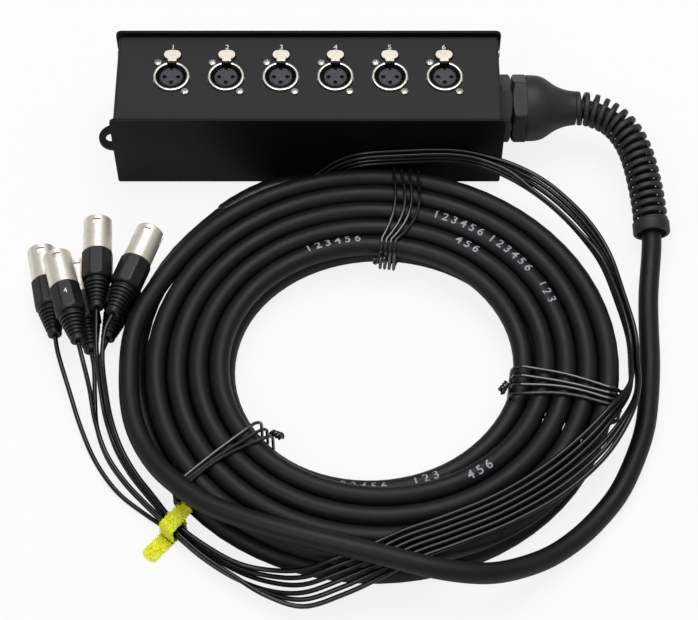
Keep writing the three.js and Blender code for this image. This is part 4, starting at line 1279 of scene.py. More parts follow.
    def build(self) -> None:
        """Shows the socket, the tab on its own body."""
        n = self.number
        place = self.place
        piece(f"socket_{n}_shell", self.shell().moved(place), NICKEL_PLATE,
              [f"socket_shell_{n}"])
        piece(f"socket_{n}_insert", self.insert().moved(place), INSERT_NYLON,
              [f"socket_insert_{n}"], round_edges=0.12)
        piece(f"socket_{n}_contacts", self.contacts().moved(place), CONTACT_METAL)
        piece(f"latch_{n}_tab", self.tab().moved(place), TAB_NICKEL, [f"latch_lever_{n}"],
              f"latch_{n}", 0.4)
        piece(f"latch_{n}_stem", self.latch().moved(place), LATCH_STEEL, body=f"latch_{n}",
              round_edges=0.2)


def panel_screws(sockets: Sequence[PanelSocket]) -> Mesh:
    """Returns the two panel screws of every socket.

    Args:
        sockets: The sockets.

    Returns:
        One mesh with all the screws.
    """
    places = [Vector((unit.x + side * unit.screw_x, unit.y - side * unit.screw_y, unit.panel_top + SEAT_GAP))
              for unit in sockets for side in (-1, 1)]
    return set_on_points("panel_screws", PANEL_SCREW.form(), places, [UP] * len(places), SCREW_STEEL, 11)


# Gland


@dataclass
class CableGland:
    """Gland body, dome nut, its spiral bend guard and what is behind the wall."""

    height: float = 34.0
    face_x: float = 128.3
    flange: float = 8.0
    flange_across: float = 40.4
    flange_corner: float = 46.2
    flange_turn: float = 30.0
    nut_across: float = 41.6
    nut_corner: float = 48.0
    nut_turn: float = 22.0
    nut_x: float = 137.5
    nut_length: float = 10.0
    dome_radius: float = 22.4
    dome_length: float = 33.0
    curls: int = 19
    curl_steps: float = 28.0
    band_round: float = 0.9
    guard_length: float = 112.0
    guard_radius: float = 11.5
    band_depth: float = 2.9
    band_width: float = 3.5
    cuff_radius: float = 12.25
    cuff_bore: float = 9.6
    cuff_length: float = 8.4
    cuff_overlap: float = 3.93
    mouth: float = 7.0
    thread: float = 15.6
    thread_bore: float = 11.0
    thread_length: float = 9.0
    tail_thread: float = 12.5
    tail_x: float = 114.2
    dome_bore: float = 16.2
    neck_bore: float = 7.6
    lip_bore: float = 8.2
    locknut: tuple[float, float, float, float, float, float] = (33.0, 36.8, 121.2, 126.2, 0.7, 12.8)
    seal_bore: float = 7.1
    seal_radius: float = 10.7
    seal_from: float = 135.6
    seal_to: float = 147.6

    @property
    def along_x(self) -> Matrix:
        """Matrix that lays a form made along Z onto the gland's axis."""
        return Matrix.Translation((0, 0, self.height)) @ Matrix.Rotation(math.pi / 2, 4, "Y")

    def nut(self, across: float, corner: float, low: float, high: float, chamfer: float, bore: float,
            turn: float = 0.0) -> Form:
        """Returns a hexagonal ring with turned corners, along Z.

        Args:
            across: Distance across the flats.
            corner: Distance across the turned corners.
            low: Where it starts.
            high: Where it ends.
            chamfer: Depth of the turning at each end.
            bore: Radius of the hole.
            turn: Angle of the middle of a flat, in degrees.

        Returns:
            The closed form.
        """
        limit = prism_limit(6, across, math.radians(turn))
        reach = corner / 2
        steps = 5
        rise = [(reach - chamfer * 1.7 * (1 - k / steps), low + chamfer * k / steps)
                for k in range(steps + 1)]
        fall = [(r, low + high - z) for r, z in reversed(rise)]
        return turned([(bore, low), *rise, *fall, (bore, high)], 120, limit)

    def body(self) -> Form:
        """Returns the flange body with its mouth and thread."""
        end, mouth, thread, bore = self.face_x + self.flange, self.mouth, self.thread, self.thread_bore
        tip = end + self.thread_length
        form = self.nut(self.flange_across, self.flange_corner, self.face_x, end, 1.2, mouth,
                        self.flange_turn)
        form.add(turned([(mouth, end - 0.5), (thread, end - 0.5), (thread, tip - 0.4), (thread - 0.4, tip),
                         (bore, tip), (bore, end - 0.2), (mouth, end - 0.2)], 64))
        inside = self.face_x + 0.5
        form.add(turned([(mouth, self.tail_x), (self.tail_thread, self.tail_x), (self.tail_thread, inside),
                         (mouth, inside)], 64))
        return form.moved(self.along_x)

    def dome(self) -> Form:
        """Returns the dome nut: a turned hexagon and a tapering nose."""
        start, hex_end = self.nut_x, self.nut_x + self.nut_length
        bore, neck = self.dome_bore, self.neck_bore
        form = self.nut(self.nut_across, self.nut_corner, start, hex_end, 1.5, bore + 0.2, self.nut_turn)
        shares = [(0, 1.0), (0.08, 0.998), (0.2, 0.985), (0.33, 0.93), (0.45, 0.82), (0.56, 0.71),
                  (0.68, 0.62), (0.8, 0.56), (0.9, 0.53), (1.0, 0.515)]
        knots = [(hex_end + share * self.dome_length, 0, self.dome_radius * size) for share, size in shares]
        smooth = [(p.z, p.x) for p in spline_through(knots, 1.5)]
        end = hex_end + self.dome_length
        lip = [(smooth[-1][0] - 0.5, end + 0.45), (self.lip_bore, end + 0.45)]
        inside = [(neck, end - 1.0), (neck, hex_end + 10), (bore, hex_end + 2), (bore, hex_end - 0.6)]
        form.add(turned([(self.dome_radius - 0.2, hex_end - 0.6), *smooth, *lip, *inside], 72))
        return form.moved(self.along_x)

    def guard(self, line: Sequence[Vector]) -> Mesh:
        """Returns the spiral band, wound round the cable's line.

        Args:
            line: The part of the cable's line that the guard covers.

        Returns:
            The band's mesh.
        """
        base = bpy.data.meshes.new("guard_line")
        base.from_pydata([p * MM for p in line], [(i, i + 1) for i in range(len(line) - 1)], [])
        values = {
            "Curls": float(self.curls), "Steps": self.curl_steps,
            "Radius": (self.guard_radius - self.band_depth / 2) * MM, "Band width": self.band_width * MM,
            "Band depth": self.band_depth * MM, "Rounding": self.band_round * MM,
        }
        return grown(spiral_tree(GLAND_NYLON.build()), base, values, "spiral_guard")

    def cuff(self, place: Vector, heading: Vector) -> Form:
        """Returns the plain cuff at the guard's end.

        Args:
            place: Centre of its near end.
            heading: Direction of the cable there.

        Returns:
            The closed form.
        """
        r, bore, long = self.cuff_radius, self.cuff_bore, self.cuff_length
        form = turned([(bore, 0), (r - 0.6, 0), (r, 0.7), (r, long - 0.9), (r - 0.35, long - 0.25),
                       (r - 0.9, long), (bore + 0.5, long), (bore, long - 0.5)], 64)
        return form.moved(Matrix.Translation(place) @ UP.rotation_difference(heading).to_matrix().to_4x4())

    def build(self, cable: "Multicore") -> None:
        """Shows the gland.

        Args:
            cable: The cable that the guard winds round.
        """
        piece("gland_flange", self.body(), GLAND_NYLON, ["gland_body"])
        start = self.nut_x + self.nut_length + self.dome_length
        line, place, heading = cable.stretch(start, self.guard_length, self.guard_length - self.cuff_overlap)
        cuff = self.cuff(place, heading)
        nose = self.dome().add(cuff)
        piece("gland_dome_nut", nose, GLAND_NYLON, ["dome_nut_with_spiral"])
        piece("gland_spiral_guard", self.guard(line), GLAND_NYLON)
        nut = self.nut(*self.locknut).moved(self.along_x)
        piece("gland_locking_nut", nut, GLAND_NYLON, ["gland_locknut"])
        reach, bore = self.seal_radius, self.seal_bore
        seal = turned([(bore, self.seal_from), (reach, self.seal_from), (reach, self.seal_to - 1.2),
                       (reach - 1.1, self.seal_to), (bore, self.seal_to)], 48)
        piece("gland_rubber_seal", seal.moved(self.along_x), BOOT_RUBBER, ["gland_seal"])


# Cables


@dataclass
class Multicore:
    """The multicore: one cable from the gland through the free lead and the coil to the breakout."""

    radius: float = 6.5
    exit: tuple[float, float, float] = (130.0, 0.0, 34.0)
    length: float = 7630.0
    centre: tuple[float, float] = (45.0, -192.5)
    inner: float = 88.05
    turn_pitch: float = 13.5
    layer_rise: float = 13.5
    base: float = 8.5
    oval: float = 4.0
    start_angle: float = 150.0
    steps_per_turn: int = 24
    steps: int = 217
    climb_turns: float = 0.5
    run_out: float = 9.0
    run_out_steps: int = 5
    spacing: float = 5.0
    sleeve_radius: float = 7.3
    core_radius: float = 1.15
    core_lane: float = 2.45
    core_twist: float = 0.12
    lead: Route = (
        (116, 0, 34), (150, 0, 34), (181, 0, 34), (191, -1.5, 34), (199, -5, 33.6), (207, -10.5, 32.8),
        (213.5, -18.5, 31.6), (218.5, -28.5, 29.8), (222, -40, 27.5), (226.3, -67, 22.4), (227.6, -95, 16.6),
        (226, -112, 12.5), (223.5, -132, 8.6), (222, -155, 6.8), (220.6, -185, 6.7), (217, -214.5, 6.7),
        (212.5, -236, 6.7), (195.5, -275, 6.7), (182, -293, 6.9), (166, -309.5, 8.5), (149, -323, 12.5),
        (131, -333, 19), (113, -340, 26), (94, -342.5, 33), (73, -341, 38), (53, -336, 39.7),
        (16, -326.5, 40), (-3, -321, 39.6), (-25, -313.5, 38), (-59.2, -297.3, 33.1), (-74.8, -284.9, 30.4),
        (-88.4, -270.8, 26.7), (-98.7, -254.6, 23.1), (-106, -238, 22), (-110, -221, 21.7), (-112, -188, 22),
        (-110.5, -170, 22), (-106, -154, 22),
    )
    sleeve_route: Route = ((-40, -57, 8.7), (-27, -50, 8.8), (-15, -47.2, 9.2), (-4.4, -47, 9.6))
    loom_route: Route = (
        (115.2, 0, 34), (108, 0, 33.5), (102, 4, 28), (97, 14, 20), (88, 22, 14), (70, 24, 10),
        (40, 24, 8.5), (0, 24, 8), (-40, 24, 8), (-75, 24, 8.5), (-98, 22, 11),
    )

    def coil_point(self, step: float) -> Vector:
        """Returns a point of the coil's centre line.

        Args:
            step: How far along, in steps of a turn's twenty-fourth.

        Returns:
            The point, in millimetres.
        """
        angle = math.radians(self.start_angle) - FULL_TURN * step / self.steps_per_turn
        turns = step / self.steps_per_turn
        half = self.steps / self.steps_per_turn / 2
        climb = min(max((turns - half) / self.climb_turns + 0.5, 0), 1)
        share = min(max((step - self.steps + self.run_out_steps) / self.run_out_steps, 0), 1)
        spread = share * share * (3 - 2 * share)
        radius = (self.inner + self.turn_pitch * abs(half - turns) + self.oval * math.cos(2 * angle)
                  + self.run_out * spread)
        return Vector((self.centre[0] + radius * math.cos(angle), self.centre[1] + radius * math.sin(angle),
                       self.base + self.layer_rise * (1 - climb)))

    def coil_line(self) -> list[Vector]:
        """Returns the coil's centre line with its straight ends."""
        parts = 3
        points = [self.coil_point(k / parts) for k in range(self.steps * parts + 1)]
        run = 2 * self.radius

        def heading(angle: float) -> Vector:
            """Direction of travel at an angle of the coil."""
            return Vector((math.sin(angle), -math.cos(angle), 0))

        start = math.radians(self.start_angle)
        end = start - FULL_TURN * self.steps / self.steps_per_turn
        return [points[0] - heading(start) * run, *points, points[-1] + heading(end) * run]

    def lead_line(self) -> list[Vector]:
        """Returns the free lead's centre line, from inside the gland to the coil."""
        coil = self.coil_line()
        outward = (coil[0] - coil[1]).normalized()
        join = [tuple(coil[0] + outward * (SEAT_GAP + self.radius)), tuple(coil[0] + outward * SEAT_GAP)]
        return spline_through([*self.lead, *join], self.spacing)

    def whole_line(self) -> list[Vector]:
        """Returns the whole cable's centre line, smoothed."""
        return smoothed([*self.lead_line(), *self.coil_line()], 2)

    def stretch(self, start_x: float, length: float, cuff_at: float) -> tuple[list[Vector], Vector, Vector]:
        """Returns the part of the line that the bend guard covers.

        Args:
            start_x: X at which it starts, where the lead still runs along X.
            length: Its length.
            cuff_at: Distance from the start at which the cuff begins.

        Returns:
            The points, the cuff's place and its direction.
        """
        line = spline_through(self.lead, 1.5)
        run, made, place, heading = 0.0, [], line[0], UP
        for before, here in zip(line, line[1:]):
            if here.x < start_x and not made:
                continue
            made.append(here)
            run += (here - before).length if len(made) > 1 else 0.0
            if run <= cuff_at:
                place, heading = here, (here - before).normalized()
            if run >= length:
                break
        return made, place, heading

    def sleeve(self) -> Form:
        """Returns the shrunk sleeve of the breakout, waisted over what is in it."""
        coil = self.coil_line()
        outward = (coil[-1] - coil[-2]).normalized()
        join = [tuple(coil[-1] + outward * SEAT_GAP), tuple(coil[-1] + outward * (SEAT_GAP + self.radius))]
        line = spline_through([*join, *self.sleeve_route], 1.5)
        last = len(line) - 1
        radii = []
        for i in range(last + 1):
            s = i / last
            ripple = 0.12 * math.sin(40 * s) * math.sin(9 * s)
            end = 1.0 - 0.35 * max(0.0, 1 - i / 2) ** 2 - 0.3 * max(0.0, 1 - (last - i) / 2) ** 2
            radii.append((self.sleeve_radius - 0.5 * math.sin(math.pi * s) + ripple) * end)
        return tube(line, radii, 28)

    def loom(self) -> Form:
        """Returns the separated cores inside the box, seven in a bundle."""
        line = spline_through(self.loom_route, 4.0)
        form = Form()
        lanes = [(0.0, 0.0)] + [(self.core_lane, FULL_TURN * k / 6) for k in range(6)]
        axes = side_axes(line)
        for reach, start in lanes:
            strand = []
            for i, (point, (a, b)) in enumerate(zip(line, axes)):
                angle = start + i * self.core_twist
                strand.append(point + (a * math.cos(angle) + b * math.sin(angle)) * reach)
            form.add(tube(strand, self.core_radius, 10))
        return form

    def build(self) -> tuple[Object, Object]:
        """Shows the cable and its sleeve.

        Returns:
            The cable and the sleeve.
        """
        cable = cord_piece("multicore_cable", self.whole_line(), self.radius, 7, CABLE_VINYL,
                           ["multicore_lead", "multicore_coil"])
        sleeve = piece("breakout_shrink_sleeve", self.sleeve(), SHRINK_TUBE, ["breakout_sleeve"])
        piece("core_bundle", self.loom(), CORE_SKIN, ["core_loom"])
        return cable, sleeve


@dataclass
class JacketPrint:
    """Plain numbers printed on the multicore's jacket where the photograph shows print."""

    height: float = 5.8
    lift: float = 0.09
    weight: float = 0.14
    strip: float = 1.0
    # Each mark: strand from the outside, angle of its middle in degrees, lean to the side, direction, text.
    marks: Sequence[tuple[float, float, float, int, str]] = (
        (2, 62, 0.0, 1, "1 2 3 4 5 6"), (2, 42, 0.0, 1, "1 2 3 4 5 6"), (2, 24, 0.0, 1, "1 2 3"),
        (3, 55, 0.1, 1, "4 5 6"), (4, 108, 0.25, 1, "1 2 3 4 5 6"), (4, 183, 0.2, 1, "1 2 3"),
        (4, -98, 0.0, -1, "1 2 3 4 5 6"), (4, -70, 0.0, -1, "1 2 3"), (3, -52, 0.2, -1, "4 5 6"),
    )

    def build(self, cable: Multicore) -> None:
        """Shows the print.

        Args:
            cable: The cable that it is printed on.
        """
        form = Form()
        for strand, angle, lean, direction, text in self.marks:
            form.add(self.wrapped(cable, strand, angle, lean, direction, text))
        piece("jacket_print", form, JACKET_INK)

    def wrapped(self, cable: Multicore, strand: float, angle: float, lean: float, direction: int,
                text: str) -> Form:
        """Returns one mark, bent round the cable.

        Args:
            cable: The cable.
            strand: The strand that it is on, counted from the outside.
            angle: Angle of its middle, in degrees.
            lean: Turn about the cable, in radians.
            direction: 1 to read along the cable, -1 to read against it.
            text: The numbers.

        Returns:
            The form.
        """
        flat = lettering(text, self.height, Matrix.Identity(4), self.lift, self.weight)
        shape = bmesh.new()
        made = bpy.data.meshes.new("mark")
        made.from_pydata(flat.points, [], flat.faces)
        shape.from_mesh(made)
        bpy.data.meshes.remove(made)
        reach = max(v.co.x for v in shape.verts)
        for axis, limit in ((1, self.height), (0, reach)):
            for k in range(-int(limit), int(limit) + 1):
                point, normal = Vector((0, 0, 0)), Vector((0, 0, 0))
                point[axis], normal[axis] = k * self.strip, 1
                whole = [*shape.verts, *shape.edges, *shape.faces]
                bmesh.ops.bisect_plane(shape, geom=whole, plane_co=point, plane_no=normal)
        turns = ((cable.start_angle - angle) % 360) / 360
        step = turns * cable.steps_per_turn + strand * cable.steps_per_turn
        length = (cable.coil_point(step + 1) - cable.coil_point(step)).length
        points = []
        for vert in shape.verts:
            at = step + direction * vert.co.x / length
            place = cable.coil_point(at)
            way = (cable.coil_point(at + 0.1) - cable.coil_point(at - 0.1)).normalized() * direction
            side = UP.cross(way)
            turn = vert.co.y / cable.radius + lean * direction
            reach = cable.radius + self.lift / 2 + vert.co.z
            points.append(place + (side * math.sin(turn) + UP * math.cos(turn)) * reach)
        faces = [tuple(v.index for v in face.verts) for face in shape.faces]
        shape.free()
        return Form(points, faces)


@dataclass
class TailSet:
    """Six thin tails, first as one bundle and then each on its way to its plug."""

    radius: float = 1.5
    spacing: float = 4.0
    inside_boot: float = 46.0
    length: float = 877.0
    exit: tuple[float, float, float] = (-4.4, -47.0, 9.6)
    # Each row of the bundle: x, y, z, side spacing, row spacing, flatness and tilt.
    bundle: Sequence[tuple[float, ...]] = (
        (-3, -47, 5.8, 4.2, 4.2, 0, 0), (6, -44.4, 7.6, 3.7, 4.4, 0, 0), (18, -41.5, 16.6, 3.6, 4.8, 0, 0),
        (32, -41.6, 26.6, 3.6, 4.2, 0, 0), (60, -42, 31.9, 3.8, 3.7, 0, 0),
        (98, -42.2, 33.3, 3.6, 3.6, 0, 0), (118, -46.5, 32.6, 3.8, 3.7, 0, 0),
        (136, -55, 31.6, 4.6, 4.6, 0.1, 0), (152, -66.5, 30.8, 5, 5, 0.3, 0), (167, -82, 30.8, 5, 5, 0.3, 0),
        (181, -101, 30.6, 5, 5, 0.25, 0), (193, -122, 28.5, 4.4, 4.6, 0.1, 0),
        (202, -146, 20.5, 3.8, 4.2, 0, 0), (208.2, -170, 15, 3.8, 3.8, 0, 0),
        (208.2, -192, 16, 3.8, 3.8, 0, 0), (205.6, -213.5, 21.5, 4.2, 4.5, 0.1, 0),
        (195.5, -234.5, 29.2, 5.1, 5.1, 0.4, 0), (178, -257, 30.6, 4.6, 4.6, 0.8, 0),
        (152, -280, 30.5, 4.2, 4.2, 1, 0), (120, -300, 30.5, 4, 4, 1, 0), (88, -314, 30.4, 3.9, 3.9, 1, 0),
        (64, -323.6, 31, 3.9, 3.9, 1, 0.05), (43, -334.1, 30, 3.8, 3.8, 1, 0.3),
        (22, -341, 24, 3.9, 3.9, 1, 0.5), (0, -345, 15, 4.5, 4.6, 0.9, 0.35),
        (-20, -340, 6.6, 5.4, 5.6, 0.5, 0.1), (-40, -331, 3, 4.8, 4.8, 0.2, 0),
        (-60, -318, 2.6, 4.2, 4.2, 0.1, 0), (-80, -301, 3.4, 3.8, 3.7, 0, 0),
    )
    ends: Sequence[Route] = (
        ((-95, -280.5, 2.2), (-109.2, -262, 2.2), (-120.2, -242, 2.2), (-126.7, -221, 3.5),
         (-129.4, -202, 7)),
        ((-98, -290, 2.2), (-116, -275, 2.2), (-131, -254, 2.4), (-142, -230, 3.5), (-150.5, -206, 7.5)),
        ((-94.8, -280.5, 5.9), (-108, -263.5, 6), (-118.5, -246, 6.8), (-125.5, -228, 11),
         (-129.5, -209, 20), (-132, -190, 28)),
        ((-98, -285.5, 5.9), (-112, -270, 5.8), (-124, -252, 6), (-131.5, -231, 6.8), (-133.8, -211, 9.5)),
        ((-93.5, -280.5, 9.6), (-105.5, -264.5, 9.8), (-115, -248, 11.5), (-121.5, -231, 16),
         (-125.5, -213, 23), (-128, -194, 30)),
        ((-98, -285.5, 9.6), (-112, -270, 9.8), (-124, -252, 11.5), (-131.5, -232, 16.5),
         (-135.5, -213, 25)),
    )

    def bundle_point(self, index: int, row: int) -> tuple[float, float, float]:
        """Returns one tail's place in one row of the bundle.

        Args:
            index: The tail, from 0.
            row: The row, from 0.

        Returns:
            The place, in millimetres.
        """
        x, y, z, side, rise, flat, tilt = self.bundle[row]
        before = self.bundle[max(row - 1, 0)]
        after = self.bundle[min(row + 1, len(self.bundle) - 1)]
        heading = Vector((after[0] - before[0], after[1] - before[1])).normalized()
        level = index // 2
        across = (-1 if index % 2 == 0 else 1) * (0.5 + level * flat) * side
        lift = level * (1 - flat) * rise - tilt * across
        return (x - heading.y * across, y + heading.x * across, z + lift)

    def line(self, index: int, plug: "CablePlug") -> list[Vector]:
        """Returns one tail's centre line.

        Args:
            index: The tail, from 0.
            plug: The plug at its end.

        Returns:
            Points from the sleeve to the plug's boot.
        """
        route = [self.bundle_point(index, row) for row in range(len(self.bundle))]
        route.extend(self.ends[index])
        route.append(tuple(plug.boot_end + plug.heading * 8 * self.radius))
        route.append(tuple(plug.boot_end + plug.heading * SEAT_GAP))
        route.append(tuple(plug.boot_end - plug.heading * self.inside_boot))
        return spline_through(route, self.spacing)

    def build(self, index: int, plug: "CablePlug") -> Object:
        """Shows one tail.

        Args:
            index: The tail, from 0.
            plug: The plug at its end.

        Returns:
            The tail's object.
        """
        return cord_piece(f"tail_{plug.label}", self.line(index, plug), self.radius, 4, TAIL_VINYL,
                          [f"tail_cable_{plug.label}"])


@dataclass
class CablePlug:
    """One three-pole cable plug: nickel shell, insert with pins and a ribbed boot."""

    label: int
    x: float
    y: float
    z: float
    turn: float
    number_side: float = 0.0
    length: float = 67.0
    shell: float = 9.3
    bore: float = 8.1
    visible: float = 25.0
    groove: float = 20.8
    tail_radius: float = 7.4
    tail_bore: float = 6.2
    tail_end: float = 40.0
    seat: float = 20.9
    window_half: float = 2.5
    window_from: float = 3.2
    window_to: float = 6.8
    key_half: float = 1.5
    key_to: float = 9.0
    insert_radius: float = 7.6
    insert_face: float = 12.5
    insert_back: float = 20.5
    pin_circle: float = 4.5
    pin_radius: float = 1.15
    pin_tip: float = 2.6
    boot_across: float = 19.4
    boot_round: float = 10.42
    boot_body: float = 20.3
    boot_bore: float = 7.7
    boot_end_bore: float = 1.75
    neck: float = 7.1
    ribs_to: float = 63.0
    collar: float = 4.8
    number_at: float = 33.5
    number_height: float = 3.6

    @property
    def heading(self) -> Vector:
        """Direction of the cable end."""
        angle = math.radians(self.turn)
        return Vector((math.sin(angle), -math.cos(angle), 0))

    @property
    def boot_end(self) -> Vector:
        """Where the boot ends and the tail comes out."""
        return Vector((self.x, self.y, self.z)) + self.heading * self.length

    @property
    def place(self) -> Matrix:
        """Matrix from the plug's own frame, Z from its open end and Y up, to the part's."""
        along = self.heading
        across = UP.cross(along)
        turned_frame = Matrix((across, UP, along)).transposed().to_4x4()
        return Matrix.Translation((self.x, self.y, self.z)) @ turned_frame

    def make_shell(self) -> Form:
        """Returns the nickel shell with its latch window and key slot."""
        bore, reach, tail, groove, end = self.bore, self.shell, self.tail_radius, self.groove, self.visible
        form = turned([
            (bore, 0.6), (bore + 0.35, 0), (reach - 0.4, 0), (reach, 0.5), (reach, groove),
            (reach - 0.14, groove + 0.2), (reach - 0.14, groove + 0.9), (reach, groove + 1.1),
            (reach, end - 0.3), (reach - 0.4, end), (tail, end), (tail, self.tail_end),
            (self.tail_bore, self.tail_end), (self.tail_bore, self.seat), (bore, self.seat),
        ], 80)
        outside = reach + 1.7
        window = block(-self.window_half, self.window_half, bore - 1.4, outside, self.window_from,
                       self.window_to)
        key = block(bore - 1.8, outside, -self.key_half, self.key_half, -1, self.key_to)
        return carve(form, [window, key])

    def make_insert(self) -> Form:
        """Returns the moulded disc inside the shell."""
        reach, face, rim = self.insert_radius, self.insert_face, self.insert_face - 0.4
        return turned([(0, face), (reach - 1, face), (reach - 0.7, rim), (reach, rim),
                       (reach, self.insert_back), (0, self.insert_back)], 48)

    def make_pins(self) -> Form:
        """Returns the three round-nosed pins."""
        tip, reach, root = self.pin_tip, self.pin_radius, self.insert_face + 1
        pin = turned([(0, tip), (0.5, tip + 0.15), (0.95, tip + 0.6), (reach, tip + 1.4), (reach, root),
                      (0, root)], 20)
        form = Form()
        for x, y in three_places(self.pin_circle):
            form.add(pin, Matrix.Translation((x, y, 0)))
        return form

    def make_boot(self) -> Form:
        """Returns the boot's faceted body, its neck, the core under the ribs and the end collar."""
        start, neck, collar = self.visible + SEAT_GAP, self.neck, self.collar
        ribs_to, end = self.ribs_to, self.length
        body_end, cup = start + self.boot_body, self.tail_end + 1
        r = self.boot_round
        return turned([
            (self.boot_bore, start), (r - 1.0, start), (r - 0.45, start + 0.25), (r - 0.1, start + 0.8),
            (r, start + 1.6), (r, body_end - 2.2), (r - 0.35, body_end - 1.0), (r - 1.1, body_end),
            (r - 2.0, body_end + 0.5), (neck + 0.2, body_end + 0.8), (neck, body_end + 1.6),
            (neck + 0.25, body_end + 2.0), (neck - 0.2, body_end + 2.4), (collar - 0.45, ribs_to - 0.4),
            (collar - 0.1, ribs_to), (collar, ribs_to + 0.4), (collar - 0.1, end - 1.0),
            (collar - 0.45, end - 0.2), (collar - 1.0, end), (self.boot_end_bore, end),
            (self.boot_end_bore, cup), (self.boot_bore, cup),
        ], 96, prism_limit(8, self.boot_across, math.pi / 2))

    def build(self, ribs: Mesh) -> list[Object]:
        """Shows the plug.

        Args:
            ribs: The row of ribs, in the plug's own frame, in metres.

        Returns:
            The plug's pieces.
        """
        n = self.label
        made = [
            piece(f"plug_{n}_{word}", form.moved(self.place), finish, nodes)
            for word, form, finish, slot, nodes in (
                ("shell", self.make_shell(), SHELL_NICKEL, Slot.NICKEL, [f"plug_shell_{n}"]),
                ("insert", self.make_insert(), INSERT_NYLON, Slot.INSERT, [f"plug_insert_{n}"]),
                ("pins", self.make_pins(), CONTACT_METAL, Slot.NICKEL, []),
                ("boot", self.make_boot(), BOOT_RUBBER, Slot.BOOT, [f"plug_boot_{n}"]),
            )
        ]
        own = ribs.copy()
        shift = self.place.copy()
        shift.translation *= MM
        own.transform(shift)
        made.append(piece(f"plug_{n}_ribs", own, BOOT_RUBBER))
        turn = Matrix.Rotation(math.radians(self.number_side), 4, "Z")
        upright = Matrix.Rotation(-math.pi / 2, 4, "X")
        face = Matrix.Translation((0, self.boot_across / 2, self.number_at)) @ upright
        number = lettering(str(n), self.number_height, self.place @ turn @ face, 0.05)
        made.append(piece(f"plug_{n}_number", number, WHITE_INK))
        return made


def boot_ribs() -> Mesh:
    """Returns the row of ribs of a boot, in the plug's own frame, in metres."""
    first, last, count = 8.4, 5.5, 6
    ribs_from, ribs_to = 47.8, 63.0
    pitch = (ribs_to - ribs_from) / count
    half = 0.86
    section = [(0.70, -half), (0.955, -half), (0.99, -half + 0.25), (1.0, 0.0), (0.99, half - 0.25),
               (0.955, half), (0.70, half)]
    # The ring's radius is one metre, so that the tree's sizes are the ribs' radii.
    ring = held_shape(turned([(share / MM, z) for share, z in section], 40), "rib_shape")
    base = bpy.data.meshes.new("rib_base")
    base.from_pydata([(0, 0, 0)], [], [])
    values = {"Shape": ring, "Count": count, "Pitch": pitch * MM, "First size": first * MM,
              "Last size": last * MM}
    made = grown(row_tree(BOOT_RUBBER.build()), base, values, "boot_ribs")
    drop(ring)
    made.transform(Matrix.Translation((0, 0, (ribs_from + pitch / 2) * MM)))
    return made


# Ties and strap


TIE_STEPS = 12


